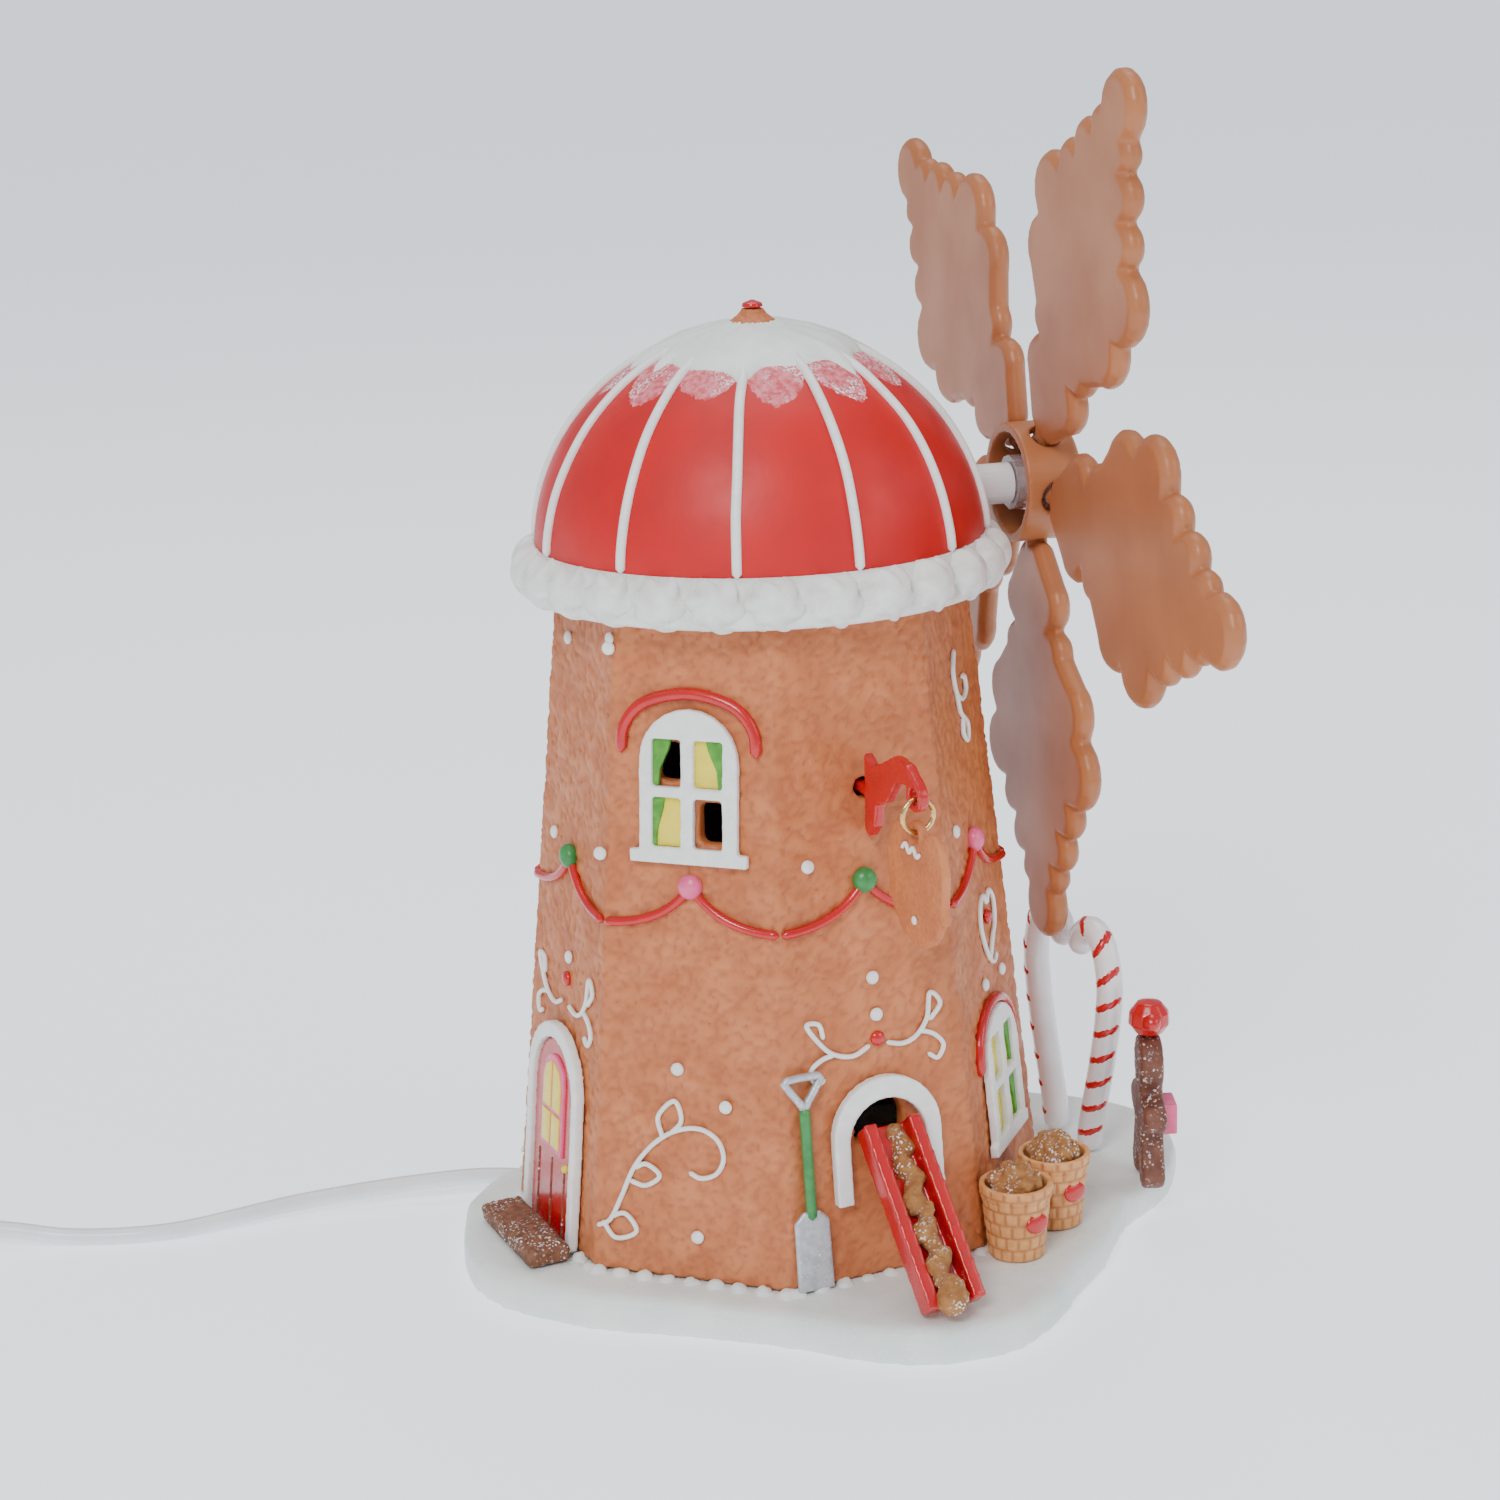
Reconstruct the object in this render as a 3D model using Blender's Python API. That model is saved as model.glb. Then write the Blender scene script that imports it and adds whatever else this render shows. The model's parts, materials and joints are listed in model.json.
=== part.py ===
"""Lit gingerbread windmill figurine: a hollow tower on a snow base, a domed roof with a motor inside,
a five-blade rotor, a hanging sign, a dough chute, buckets, candy canes and a mains lead.

Frame: +Z up, origin on the tower's axis in the plane it stands on, +X along the rotor's axle,
and the chute and sign on the -Y side. Lengths below are in millimetres, scaled by MM.
"""
import math

import bmesh
import bpy
from mathutils import Matrix, Vector

MM = 0.001
GAP = 0.3                      # clearance between pieces that touch

# Tower: a tapered octagon under a round roof
DOME_R = 56.0                  # the roof's radius, which the tower's top, collar and rotor follow
TOWER_TURN = 7.5               # degrees the faces are turned about Z from the axle
TOWER_FOOT_R = 68.5            # corner radius at the foot
TOWER_TOP_R = DOME_R - 4.5     # corner radius at the top, which carries the roof's collar
TOWER_TOP_Z = 171.0
TOWER_WALL = 5.0
BASE_THICK = 9.0
HALF_FACE = math.radians(22.5)

# Roof and collar
DOME_RISE = 54.0
DOME_WALL = 4.0
DOME_FOOT_Z = TOWER_TOP_Z + 9.0
DOME_FLAT_R = 8.0              # flat seat of the finial
COLLAR_R = DOME_R + 5.0
COLLAR_RIM_R = DOME_R + 3.0
COLLAR_HEIGHT = 12.3

# Rotor
AXLE_Z = DOME_FOOT_Z + 10.0
AXLE_R = 5.2
SPIGOT_R = 2.0
HUB_BACK_X = DOME_R + 10.0
HUB_DEPTH = 15.0
HUB_R = 15.2
HUB_WALL = 2.4
BLADE_COUNT = 5
BLADE_THICK = 5.6
BLADE_START = -44.5            # degrees of the first blade from upright, towards -Y
BLADE_LEANS = (-5.0, 3.0, -1.0, 5.0, 0.0)  # degrees each blade leans in the rotor's plane from even spacing
BLADE_REACH = 111.0            # axle to the centre of the tip's lobe
PEG_HALF = 2.5

# Drive
GEAR_MODULE = 0.8
GEAR_TEETH = 36
PINION_TEETH = 12
SHAFT_R = 1.5
GEAR_X = 15.5
GEAR_WIDTH = 5.0
MOTOR_R = 14.5
MOTOR_DEPTH = 17.0
PLATE_X = 10.0
PLATE_THICK = 2.5

# Bottom cover
COVER_R = 48.0
COVER_THICK = 2.5
BASE_BORE_R = 42.0
SCREW_R = 1.3
SCREW_RING_R = 45.0

# Sign
SIGN_OFFSET = 2.0              # along the chute face
SIGN_OUT = 27.4                # from the wall to the hook's eye
PIN_Z = 129.5                  # height of the bracket's pin
PIN_R = 2.4
EYE_Z = 133.4
EYE_R = 2.0
RING_R = 4.0
RING_WIRE_R = 0.7
SIGN_THICK = 2.4
SIGN_WIDTH = 29.0
SIGN_HEIGHT = 27.0

# Chute
CHUTE_TOP_Z = 46.0
CHUTE_RUN = 27.0               # how far its foot stands out from the wall
CHUTE_WIDTH = 15.5
RAIL_THICK = 3.4
RAIL_HEIGHT = 5.0

# Candy-cane heart
CANE_R = 3.5
HEART_CENTRE = (82.5, -1.5)
HEART_YAW = 9.0

# Mains lead
CORD_R = 2.2
COIL_CENTRE = (-268.0, 118.0)
COIL_MID_R = 24.0
COIL_HALF_WIDTH = 7.0
COIL_HEIGHT = 13.4
SWITCH_CENTRE = (-224.0, 63.0)
SWITCH_HEADING = 161.0
SWITCH_LENGTH = 44.0
ROCKER_TILT = 8.0

AXLE_CENTRE = Vector((0.0, 0.0, AXLE_Z))
PINION_CENTRE = Vector((0.0, 0.0, AXLE_Z + GEAR_MODULE * (GEAR_TEETH + PINION_TEETH) / 2))
ALONG_X = Matrix.Rotation(math.radians(90.0), 4, "Y")


# ---------------------------------------------------------------- scene and materials

def clear_scene():
    for obj in list(bpy.data.objects):
        bpy.data.objects.remove(obj, do_unlink=True)


def finish(name, colour, roughness=0.5, metallic=0.0):
    material = bpy.data.materials.new(name)
    material.use_nodes = True
    shader = material.node_tree.nodes["Principled BSDF"]
    shader.inputs["Base Color"].default_value = (*colour, 1.0)
    shader.inputs["Roughness"].default_value = roughness
    shader.inputs["Metallic"].default_value = metallic
    return material


# ---------------------------------------------------------------- mesh tools

def to_object(name, mesh_builder, material, place=Matrix.Identity(4), smooth=False):
    """Turn a bmesh in millimetres into an object in metres, placed by a matrix in millimetres."""
    bmesh.ops.recalc_face_normals(mesh_builder, faces=mesh_builder.faces)
    mesh = bpy.data.meshes.new(name)
    bmesh.ops.scale(mesh_builder, vec=(MM, MM, MM), verts=mesh_builder.verts)
    mesh_builder.to_mesh(mesh)
    mesh_builder.free()
    if smooth:
        mesh.shade_smooth()
        mesh.set_sharp_from_angle(angle=math.radians(35.0))
    obj = bpy.data.objects.new(name, mesh)
    bpy.context.scene.collection.objects.link(obj)
    obj.data.materials.append(material)
    obj.matrix_world = in_metres(place)
    return obj


def in_metres(matrix):
    result = matrix.copy()
    result.translation = matrix.translation * MM
    return result


def outline_face(bm, outline, height=0.0):
    corners = [bm.verts.new((x, y, height)) for x, y in outline]
    return bm.faces.new(corners)


def extruded(name, outline, low, high, material, place=Matrix.Identity(4), round_edge=0.0, segments=2,
             top_only=False):
    """A prism on a closed outline in X and Y, from Z low to high, with its rims rounded on request."""
    bm = bmesh.new()
    face = outline_face(bm, outline, low)
    grown = bmesh.ops.extrude_face_region(bm, geom=[face])
    top = [v for v in grown["geom"] if isinstance(v, bmesh.types.BMVert)]
    bmesh.ops.translate(bm, vec=(0, 0, high - low), verts=top)
    if round_edge:
        rims = [e for e in bm.edges if abs(e.verts[0].co.z - e.verts[1].co.z) < 1e-6]
        if top_only:
            rims = [e for e in rims if e.verts[0].co.z > (low + high) / 2]
        bmesh.ops.bevel(bm, geom=rims, offset=round_edge, segments=segments, profile=0.5, affect="EDGES")
    return to_object(name, bm, material, place)


def turned(name, profile, material, place=Matrix.Identity(4), sides=32, smooth=True):
    """A closed profile of (radius, height) spun about Z."""
    bm = bmesh.new()
    corners = [bm.verts.new((r, 0.0, z)) for r, z in profile]
    edges = [bm.edges.new((corners[i], corners[(i + 1) % len(corners)])) for i in range(len(corners))]
    on_axis = [e for e in edges if all(abs(v.co.x) < 1e-9 for v in e.verts)]
    edges = [e for e in edges if e not in on_axis]
    bmesh.ops.delete(bm, geom=on_axis, context="EDGES")
    bmesh.ops.spin(bm, geom=corners + edges, cent=(0, 0, 0), axis=(0, 0, 1),
                   angle=math.tau, steps=sides, use_merge=True)
    bmesh.ops.remove_doubles(bm, verts=bm.verts, dist=1e-4)
    return to_object(name, bm, material, place, smooth)


def box(name, low, high, material, place=Matrix.Identity(4), round_edge=0.0):
    outline = [(low[0], low[1]), (high[0], low[1]), (high[0], high[1]), (low[0], high[1])]
    return extruded(name, outline, low[2], high[2], material, place, round_edge, segments=1)


def tube(name, points, radius, material, resolution=2):
    """A round bar along a smooth path, with flat ends."""
    curve = bpy.data.curves.new(name, "CURVE")
    curve.dimensions = "3D"
    curve.bevel_depth = radius * MM
    curve.bevel_resolution = resolution
    curve.use_fill_caps = True
    spline = curve.splines.new("POLY")
    spline.points.add(len(points) - 1)
    for slot, point in zip(spline.points, points):
        slot.co = (point[0] * MM, point[1] * MM, point[2] * MM, 1.0)
    obj = bpy.data.objects.new(name, curve)
    bpy.context.scene.collection.objects.link(obj)
    obj.data.materials.append(material)
    return obj


def smooth_path(points, spacing):
    """Points about spacing apart on the Catmull-Rom curve through the given points."""
    knots = [Vector(p) for p in points]
    ends = [knots[0] * 2 - knots[1]] + knots + [knots[-1] * 2 - knots[-2]]
    path = [knots[0]]
    for i in range(len(knots) - 1):
        a, b, c, d = ends[i:i + 4]
        steps = max(1, round((c - b).length / spacing))
        for k in range(1, steps + 1):
            t = k / steps
            path.append(0.5 * (2 * b + (c - a) * t + (2 * a - 5 * b + 4 * c - d) * t ** 2
                               + (3 * b - a - 3 * c + d) * t ** 3))
    return path


def cutter(name, obj):
    obj.hide_render = True
    obj.display_type = "WIRE"
    obj.name = name
    return obj


def cut(target, tool):
    modifier = target.modifiers.new(tool.name, "BOOLEAN")
    modifier.operation = "DIFFERENCE"
    modifier.solver = "EXACT"
    modifier.object = tool


def hang_on(parent, *children):
    """Parent pieces to an empty without moving them."""
    bpy.context.view_layer.update()
    for child in children:
        child.parent = parent
        child.matrix_parent_inverse = parent.matrix_world.inverted()


def joint_empty(name, point):
    empty = bpy.data.objects.new(name, None)
    bpy.context.scene.collection.objects.link(empty)
    empty.location = Vector(point) * MM
    return empty


def arc(centre, radius, start, end, steps):
    """Points on an arc, angles in degrees, both ends included."""
    angles = [math.radians(start + (end - start) * i / steps) for i in range(steps + 1)]
    return [(centre[0] + radius * math.cos(a), centre[1] + radius * math.sin(a)) for a in angles]


def arch(width, height, foot=0.0, steps=10):
    """A round-headed door or window outline, centred on X, standing on Y = foot."""
    half = width / 2
    return [(-half, foot), (half, foot)] + arc((0.0, foot + height - half), half, 0.0, 180.0, steps)


# ---------------------------------------------------------------- the tower's faces

def corner_radius(z):
    share = (z - BASE_THICK) / (TOWER_TOP_Z - BASE_THICK)
    return TOWER_FOOT_R + (TOWER_TOP_R - TOWER_FOOT_R) * share


def face_distance(z):
    return corner_radius(z) * math.cos(HALF_FACE)


SIGN_REACH = face_distance(PIN_Z) + SIGN_OUT


def face_place(azimuth, z, out=0.0):
    """Matrix at a face's middle at height z: X to a viewer's right, Y up the slope, Z outward."""
    turn = math.radians(azimuth + TOWER_TURN)
    outward = Vector((math.cos(turn), math.sin(turn), 0.0))
    right = Vector((-math.sin(turn), math.cos(turn), 0.0))
    lean = (face_distance(BASE_THICK) - face_distance(TOWER_TOP_Z)) / (TOWER_TOP_Z - BASE_THICK)
    up = (Vector((0, 0, 1)) - outward * lean).normalized()
    normal = right.cross(up)
    origin = outward * face_distance(z) + Vector((0, 0, z)) + normal * out
    return Matrix.Translation(origin) @ Matrix((right, up, normal)).transposed().to_4x4()


def face_upright(azimuth, z):
    """Matrix on the tower's axis at height z: X to the right, Y outward, Z up, for a face."""
    return Matrix.Translation((0, 0, z)) @ Matrix.Rotation(math.radians(azimuth + TOWER_TURN - 90.0), 4, "Z") \
        @ Matrix.Scale(-1, 4, (1, 0, 0))


SIDE_WINDOW, CHUTE, UPPER_WINDOW, DOOR = -45.0, -90.0, -135.0, 180.0


# ---------------------------------------------------------------- base and bottom cover

BASE_EDGE = [
    (-84, 5), (-86.5, -13), (-82, -30), (-66, -48), (-45, -61), (-24, -75), (-6, -91), (12, -98.5),
    (30, -96.5), (43, -87), (53, -75), (66, -62), (80, -42), (96, -30), (108, -12), (111, 6),
    (104, 24), (86, 38), (62, 52), (34, 68), (2, 75), (-28, 69), (-48, 54), (-61, 41.5), (-72, 31), (-80, 20),
]


def base_outline():
    closed = [(x, y, 0.0) for x, y in BASE_EDGE]
    path = smooth_path([closed[-1]] + closed + closed[:2], 11.0)
    start = next(i for i, p in enumerate(path) if (p - Vector(closed[0])).length < 1e-6)
    end = max(i for i, p in enumerate(path) if (p - Vector(closed[0])).length < 1e-6)
    return [(p.x, p.y) for p in path[start:end]]


CORD_EXIT = Vector((-61.5, 38.8, 5.0))
CORD_EXIT_HEADING = 164.0
GLAND_LENGTH = 12.0


def exit_place():
    """Z out of the base along the cord's first run, with the origin at the gland's outer face."""
    return Matrix.Translation(CORD_EXIT) @ Matrix.Rotation(math.radians(CORD_EXIT_HEADING), 4, "Z") @ ALONG_X


def screw_spots():
    for i in range(3):
        angle = math.radians(80.0 + 120.0 * i)
        yield i + 1, Matrix.Translation((SCREW_RING_R * math.cos(angle), SCREW_RING_R * math.sin(angle), 0))


def make_base(porcelain, cover_plastic, steel):
    base = extruded("snow_base", base_outline(), 0.0, BASE_THICK, porcelain, round_edge=2.6, top_only=True)
    bore = turned("base_bore", [(0, -1), (BASE_BORE_R, -1), (BASE_BORE_R, 20), (0, 20)], porcelain)
    recess_top = COVER_THICK + GAP
    recess_r = COVER_R + GAP
    recess = turned("base_recess", [(0, -2), (recess_r, -2), (recess_r, recess_top), (0, recess_top)], porcelain)
    tunnel_r = CORD_R + 1.0 + GAP
    tunnel = turned("base_tunnel", [(0, -36), (tunnel_r, -36), (tunnel_r, 12), (0, 12)], porcelain,
                    exit_place(), sides=16)
    for name, tool in (("base_bore", bore), ("base_recess", recess), ("base_tunnel", tunnel)):
        cut(base, cutter(name, tool))

    cover = turned("bottom_cover", [(0, 0), (COVER_R, 0), (COVER_R, COVER_THICK), (0, COVER_THICK)],
                   cover_plastic)
    head_r, head_depth, screw_end = 2 * SCREW_R, 1.2, 7.0
    hole_r = SCREW_R + GAP
    for number, place in screw_spots():
        pilot = turned("pilot_%d" % number, [(0, 1), (hole_r, 1), (hole_r, screw_end + GAP), (0, screw_end + GAP)],
                       steel, place, sides=12)
        sink = turned("sink_%d" % number, [(0, -1), (head_r + GAP, -1), (head_r + GAP, head_depth + GAP),
                                           (hole_r, head_depth + GAP), (hole_r, 4), (0, 4)],
                      steel, place, sides=12)
        cut(base, cutter("pilot_%d" % number, pilot))
        cut(cover, cutter("sink_%d" % number, sink))
        turned("cover_screw_%d" % number, [(0, 0.1), (head_r, 0.1), (head_r, head_depth), (SCREW_R, head_depth),
                                           (SCREW_R, screw_end), (0, screw_end)], steel, place, sides=12)


# ---------------------------------------------------------------- tower, windows and door

PANES = [(-5.6, 18.6, 7.4, 11.5), (5.0, 18.6, 7.4, 11.5), (-5.6, 4.0, 7.4, 12.0), (5.0, 4.0, 7.4, 12.0)]
UPPER_SILL_Z = 113.0
SIDE_SILL_Z = 28.5
DOOR_FOOT_Z = 9.6
CHUTE_FOOT_Z = 29.0
TRIM_THICK = 2.2
THROUGH_PANES = (0, 3)         # panes that are open to the lit inside


def octagon_ring(bm, radius_low, radius_high, low, high):
    rings = []
    for radius, z in ((radius_low, low), (radius_high, high)):
        ring = []
        for i in range(8):
            angle = math.radians(TOWER_TURN + 45.0 * i) + HALF_FACE
            ring.append(bm.verts.new((radius * math.cos(angle), radius * math.sin(angle), z)))
        rings.append(ring)
    return rings


def make_tower(gingerbread):
    bm = bmesh.new()
    low, high = BASE_THICK + GAP, TOWER_TOP_Z
    wall = TOWER_WALL / math.cos(HALF_FACE)
    outer = octagon_ring(bm, corner_radius(low), corner_radius(high), low, high)
    inner = octagon_ring(bm, corner_radius(low) - wall, corner_radius(high) - wall, low, high)
    for i in range(8):
        k = (i + 1) % 8
        bm.faces.new((outer[0][i], outer[0][k], outer[1][k], outer[1][i]))
        bm.faces.new((inner[0][k], inner[0][i], inner[1][i], inner[1][k]))
        bm.faces.new((inner[0][i], inner[0][k], outer[0][k], outer[0][i]))
        bm.faces.new((outer[1][i], outer[1][k], inner[1][k], inner[1][i]))
    tower = to_object("tower_shell", bm, gingerbread)

    depth = -2 * TOWER_WALL
    for number in THROUGH_PANES:
        x, y, width, height = PANES[number]
        half = width / 2 - 0.5
        place = face_place(UPPER_WINDOW, UPPER_SILL_Z)
        tool = extruded("pane_cut", [(x - half, y + 1), (x + half, y + 1), (x + half, y + height - 1),
                                     (x - half, y + height - 1)], depth, 6.0, gingerbread, place)
        cut(tower, cutter("pane_cut_%d" % number, tool))
    chute_hole = extruded("chute_cut", arch(CHUTE_HOLE_W, CHUTE_HOLE_H, steps=8), depth, 8.0, gingerbread,
                          face_place(CHUTE, CHUTE_HOLE_Z))
    cut(tower, cutter("chute_cut", chute_hole))
    bracket_hole = turned("bracket_cut", [(0, depth), (PIN_R + GAP, depth), (PIN_R + GAP, 6), (0, 6)],
                          gingerbread, face_place(CHUTE, PIN_Z) @ Matrix.Translation((SIGN_OFFSET, 0, 0)), sides=12)
    cut(tower, cutter("bracket_cut", bracket_hole))


CHUTE_HOLE_W = 13.5
CHUTE_HOLE_H = 11.5
CHUTE_HOLE_Z = 43.5


def window_outline(width, height, sill_width, sill_height):
    half = sill_width / 2
    head = arc((0.0, height - width / 2), width / 2, 0.0, 180.0, 12)
    return [(-half, 0), (half, 0), (half, sill_height), (width / 2, sill_height)] + head \
        + [(-width / 2, sill_height), (-half, sill_height)]


def make_window(name, place, width, height, sill_width, white):
    frame = extruded(name, window_outline(width, height, sill_width, 3.2), GAP, TRIM_THICK + GAP, white, place)
    for number, (x, y, pane_width, pane_height) in enumerate(PANES):
        half = pane_width / 2
        outline = [(x - half, y), (x + half, y), (x + half, y + pane_height), (x - half, y + pane_height)]
        tool = extruded("pane", outline, -1.0, 5.0, white, place)
        cut(frame, cutter("%s_pane_%d" % (name, number), tool))


def make_windows_and_door(white, red, dark_icing):
    make_window("upper_window", face_place(UPPER_WINDOW, UPPER_SILL_Z), 25.0, 37.5, 30.0, white)
    make_window("side_window", face_place(SIDE_WINDOW, SIDE_SILL_Z), 25.0, 36.0, 28.0, white)

    place = face_place(DOOR, DOOR_FOOT_Z)
    frame = extruded("door_frame", arch(33.0, 55.0, steps=14), GAP, 3.0, white, place)
    opening = extruded("door_opening", arch(27.0, 52.0, foot=-1.0, steps=12), -1.0, 6.0, white, place)
    cut(frame, cutter("door_opening", opening))
    extruded("front_door", arch(27.0 - 2 * GAP, 50.7, foot=0.0, steps=12), GAP, 1.8, red, place)
    step_place = face_upright(DOOR, 0.0)
    near = face_distance(BASE_THICK) + 3.6
    box("door_step", (-15.0, near, BASE_THICK + GAP), (20.0, near + 11.0, BASE_THICK + 5.2), dark_icing,
        step_place, round_edge=0.8)


# ---------------------------------------------------------------- chute, dough and shovel

def chute_place():
    """Origin on the wall at the chute's top: X across, Y down the slope, Z out of the trough."""
    upright = face_upright(CHUTE, 0.0)
    top = Vector((0.8, face_distance(CHUTE_TOP_Z) + 0.6, CHUTE_TOP_Z))
    foot = Vector((2.2, face_distance(BASE_THICK) + CHUTE_RUN, BASE_THICK + 1.2))
    down = (foot - top).normalized()
    across = Vector((1, 0, 0))
    normal = across.cross(down).normalized()
    if normal.z < 0:
        normal = -normal
    across = down.cross(normal)
    return upright @ Matrix.Translation(top) @ Matrix((across, down, normal)).transposed().to_4x4(), (foot - top).length


def make_chute(red, dough, white):
    place, length = chute_place()
    half, floor = CHUTE_WIDTH / 2, 1.6
    section = [(-half, 0), (half, 0), (half, RAIL_HEIGHT + 1), (half - RAIL_THICK, RAIL_HEIGHT + 1),
               (half - RAIL_THICK, floor), (-half + RAIL_THICK, floor), (-half + RAIL_THICK, RAIL_HEIGHT + 1),
               (-half, RAIL_HEIGHT + 1)]
    # the section's X and Y become the trough's X and Z, and its extrusion runs down the slope
    lay = Matrix(((1, 0, 0, 0), (0, 0, 1, 0), (0, 1, 0, 0), (0, 0, 0, 1)))
    extruded("chute", section, 0.0, length, red, place @ lay)

    inner = half - RAIL_THICK - GAP
    waves = 7
    top_line = []
    for i in range(waves * 2 + 1):
        run = 1.0 + (length - 2.0) * i / (waves * 2)
        top_line.append((run, floor + GAP + 3.4 + (0.9 if i % 2 else 0.0)))
    side = [(1.0, floor + GAP), (length - 1.0, floor + GAP)] + list(reversed(top_line))
    across = Matrix(((0, 0, 1, 0), (1, 0, 0, 0), (0, 1, 0, 0), (0, 0, 0, 1)))
    extruded("chute_dough", side, -inner, inner, dough, place @ across)

    arch_place = face_place(CHUTE, CHUTE_FOOT_Z)
    frame = extruded("chute_arch", arch(29.0, 30.5, steps=14), GAP, 3.2, white,
                     arch_place @ Matrix.Translation((0.8, 0, 0)))
    opening = extruded("arch_opening", arch(CHUTE_WIDTH + 5.0, 26.0, foot=-1.0, steps=12), -1.0, 6.0, white,
                       arch_place @ Matrix.Translation((0.8, 0, 0)))
    cut(frame, cutter("arch_opening", opening))


def make_shovel(green, silver):
    place = face_place(CHUTE, BASE_THICK) @ Matrix.Translation((-20.5, 0.0, 0.6))
    blade = [(-4.8, 0.5), (4.8, 0.5), (4.6, 18.0), (2.0, 20.5), (-2.0, 20.5), (-4.6, 18.0)]
    extruded("shovel_blade", blade, 0.0, 1.6, silver, place, round_edge=0.4, segments=1)
    grip = [(-1.3, 20.8), (1.3, 20.8), (1.3, 46.0), (4.2, 51.5), (4.2, 53.8), (-4.2, 53.8), (-4.2, 51.5), (-1.3, 46.0)]
    handle = extruded("shovel_handle", grip, 0.0, 2.2, green, place)
    hole = extruded("grip_hole", [(-1.9, 51.8), (0, 48.2), (1.9, 51.8)], -1.0, 4.0, green, place)
    cut(handle, cutter("grip_hole", hole))


# ---------------------------------------------------------------- yard pieces

# Each bucket's azimuth and how far its centre stands beyond the tower's corners at the rim's height
BUCKET_SPOTS = {"bucket_front": (-56.6, 8.9), "bucket_back": (-40.1, 8.75)}
BUCKET_FOOT_R = 7.0
BUCKET_RIM_R = 9.2
BUCKET_HEIGHT = 19.0
BUCKET_WALL = 1.4


def make_buckets(wicker, dough):
    foot = BASE_THICK + GAP
    rim = foot + BUCKET_HEIGHT
    inside_foot = foot + 12.0
    for name, (azimuth, beyond) in BUCKET_SPOTS.items():
        place = Matrix.Rotation(math.radians(azimuth), 4, "Z") @ Matrix.Translation((corner_radius(rim) + beyond, 0, 0))
        wall_r = BUCKET_FOOT_R + (BUCKET_RIM_R - BUCKET_FOOT_R) * 12.0 / BUCKET_HEIGHT - BUCKET_WALL
        turned(name, [(0, foot), (BUCKET_FOOT_R, foot), (BUCKET_RIM_R - 0.5, rim - 3.0), (BUCKET_RIM_R, rim - 3.0),
                      (BUCKET_RIM_R, rim), (BUCKET_RIM_R - BUCKET_WALL, rim), (wall_r, inside_foot),
                      (0, inside_foot)], wicker, place, sides=20)
        low_r, high_r = wall_r - GAP, BUCKET_RIM_R - BUCKET_WALL - GAP
        turned(name + "_dough", [(0, inside_foot + GAP), (low_r, inside_foot + GAP), (high_r, rim),
                                 (high_r * 0.85, rim + 2.2), (high_r * 0.5, rim + 4.2), (0, rim + 5.0)],
               dough, place, sides=16)


def heart_place():
    return Matrix.Translation((*HEART_CENTRE, 0)) @ Matrix.Rotation(math.radians(HEART_YAW), 4, "Z")


def make_candy_canes(candy):
    """Two canes whose crooks meet at the top middle, so that they make a heart in the YZ plane."""
    foot = BASE_THICK + 0.4
    side = [(8.5, foot), (8.7, foot + 5.0), (10.5, 22.0), (14.5, 36.0), (17.6, 50.0), (18.2, 60.0), (15.6, 68.4), (10.4, 71.8),
            (5.4, 69.2), (4.0, 63.5)]
    for name, sign in (("candy_cane_left", 1), ("candy_cane_right", -1)):
        points = [heart_place() @ Vector((0, sign * y, z)) for y, z in side]
        tube(name, smooth_path(points, 4.5), CANE_R, candy)


FIGURE_PLACE = Matrix.Translation((90.5, -33.0, BASE_THICK + GAP)) @ Matrix.Rotation(math.radians(-16.0), 4, "Z")


def make_figure(brown, red):
    """A gingerbread figure facing +X, its flat outline in the YZ plane, with a red bow on its head."""
    leg, arm, head_r = 4.2, 3.8, 7.6
    half = [(1.2, 6.5)] + arc((6.0, leg), leg, 215.0, 395.0, 6) + [(6.2, 15.0)]
    half += arc((9.6, 20.5), arm, -85.0, 95.0, 6) + [(5.2, 25.5)]
    half += arc((0.0, 32.4), head_r, -45.0, 85.0, 7)
    outline = half + [(-y, z) for y, z in reversed(half)]
    stand = Matrix(((0, 0, 1, 0), (1, 0, 0, 0), (0, 1, 0, 0), (0, 0, 0, 1)))
    extruded("ginger_figure", outline, -3.0, 3.0, brown, FIGURE_PLACE @ stand, round_edge=1.2)
    bow_z = 32.4 + head_r + GAP
    bow = [(0, 0), (3.6, 0.4), (5.4, 3.0), (5.2, 6.0), (3.2, 8.6), (0, 9.4)]
    turned("figure_bow", bow, red, FIGURE_PLACE @ Matrix.Translation((0, 0, bow_z)), sides=12)


# ---------------------------------------------------------------- sign

def sign_place():
    """X outward from the chute face, Y up, Z across it: the plane the bracket and the plate lie in."""
    upright = face_upright(CHUTE, 0.0) @ Matrix.Translation((SIGN_OFFSET, 0, 0))
    return upright @ Matrix(((0, 0, 1, 0), (1, 0, 0, 0), (0, 1, 0, 0), (0, 0, 0, 1)))


BRACKET_THICK = 2.6


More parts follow.
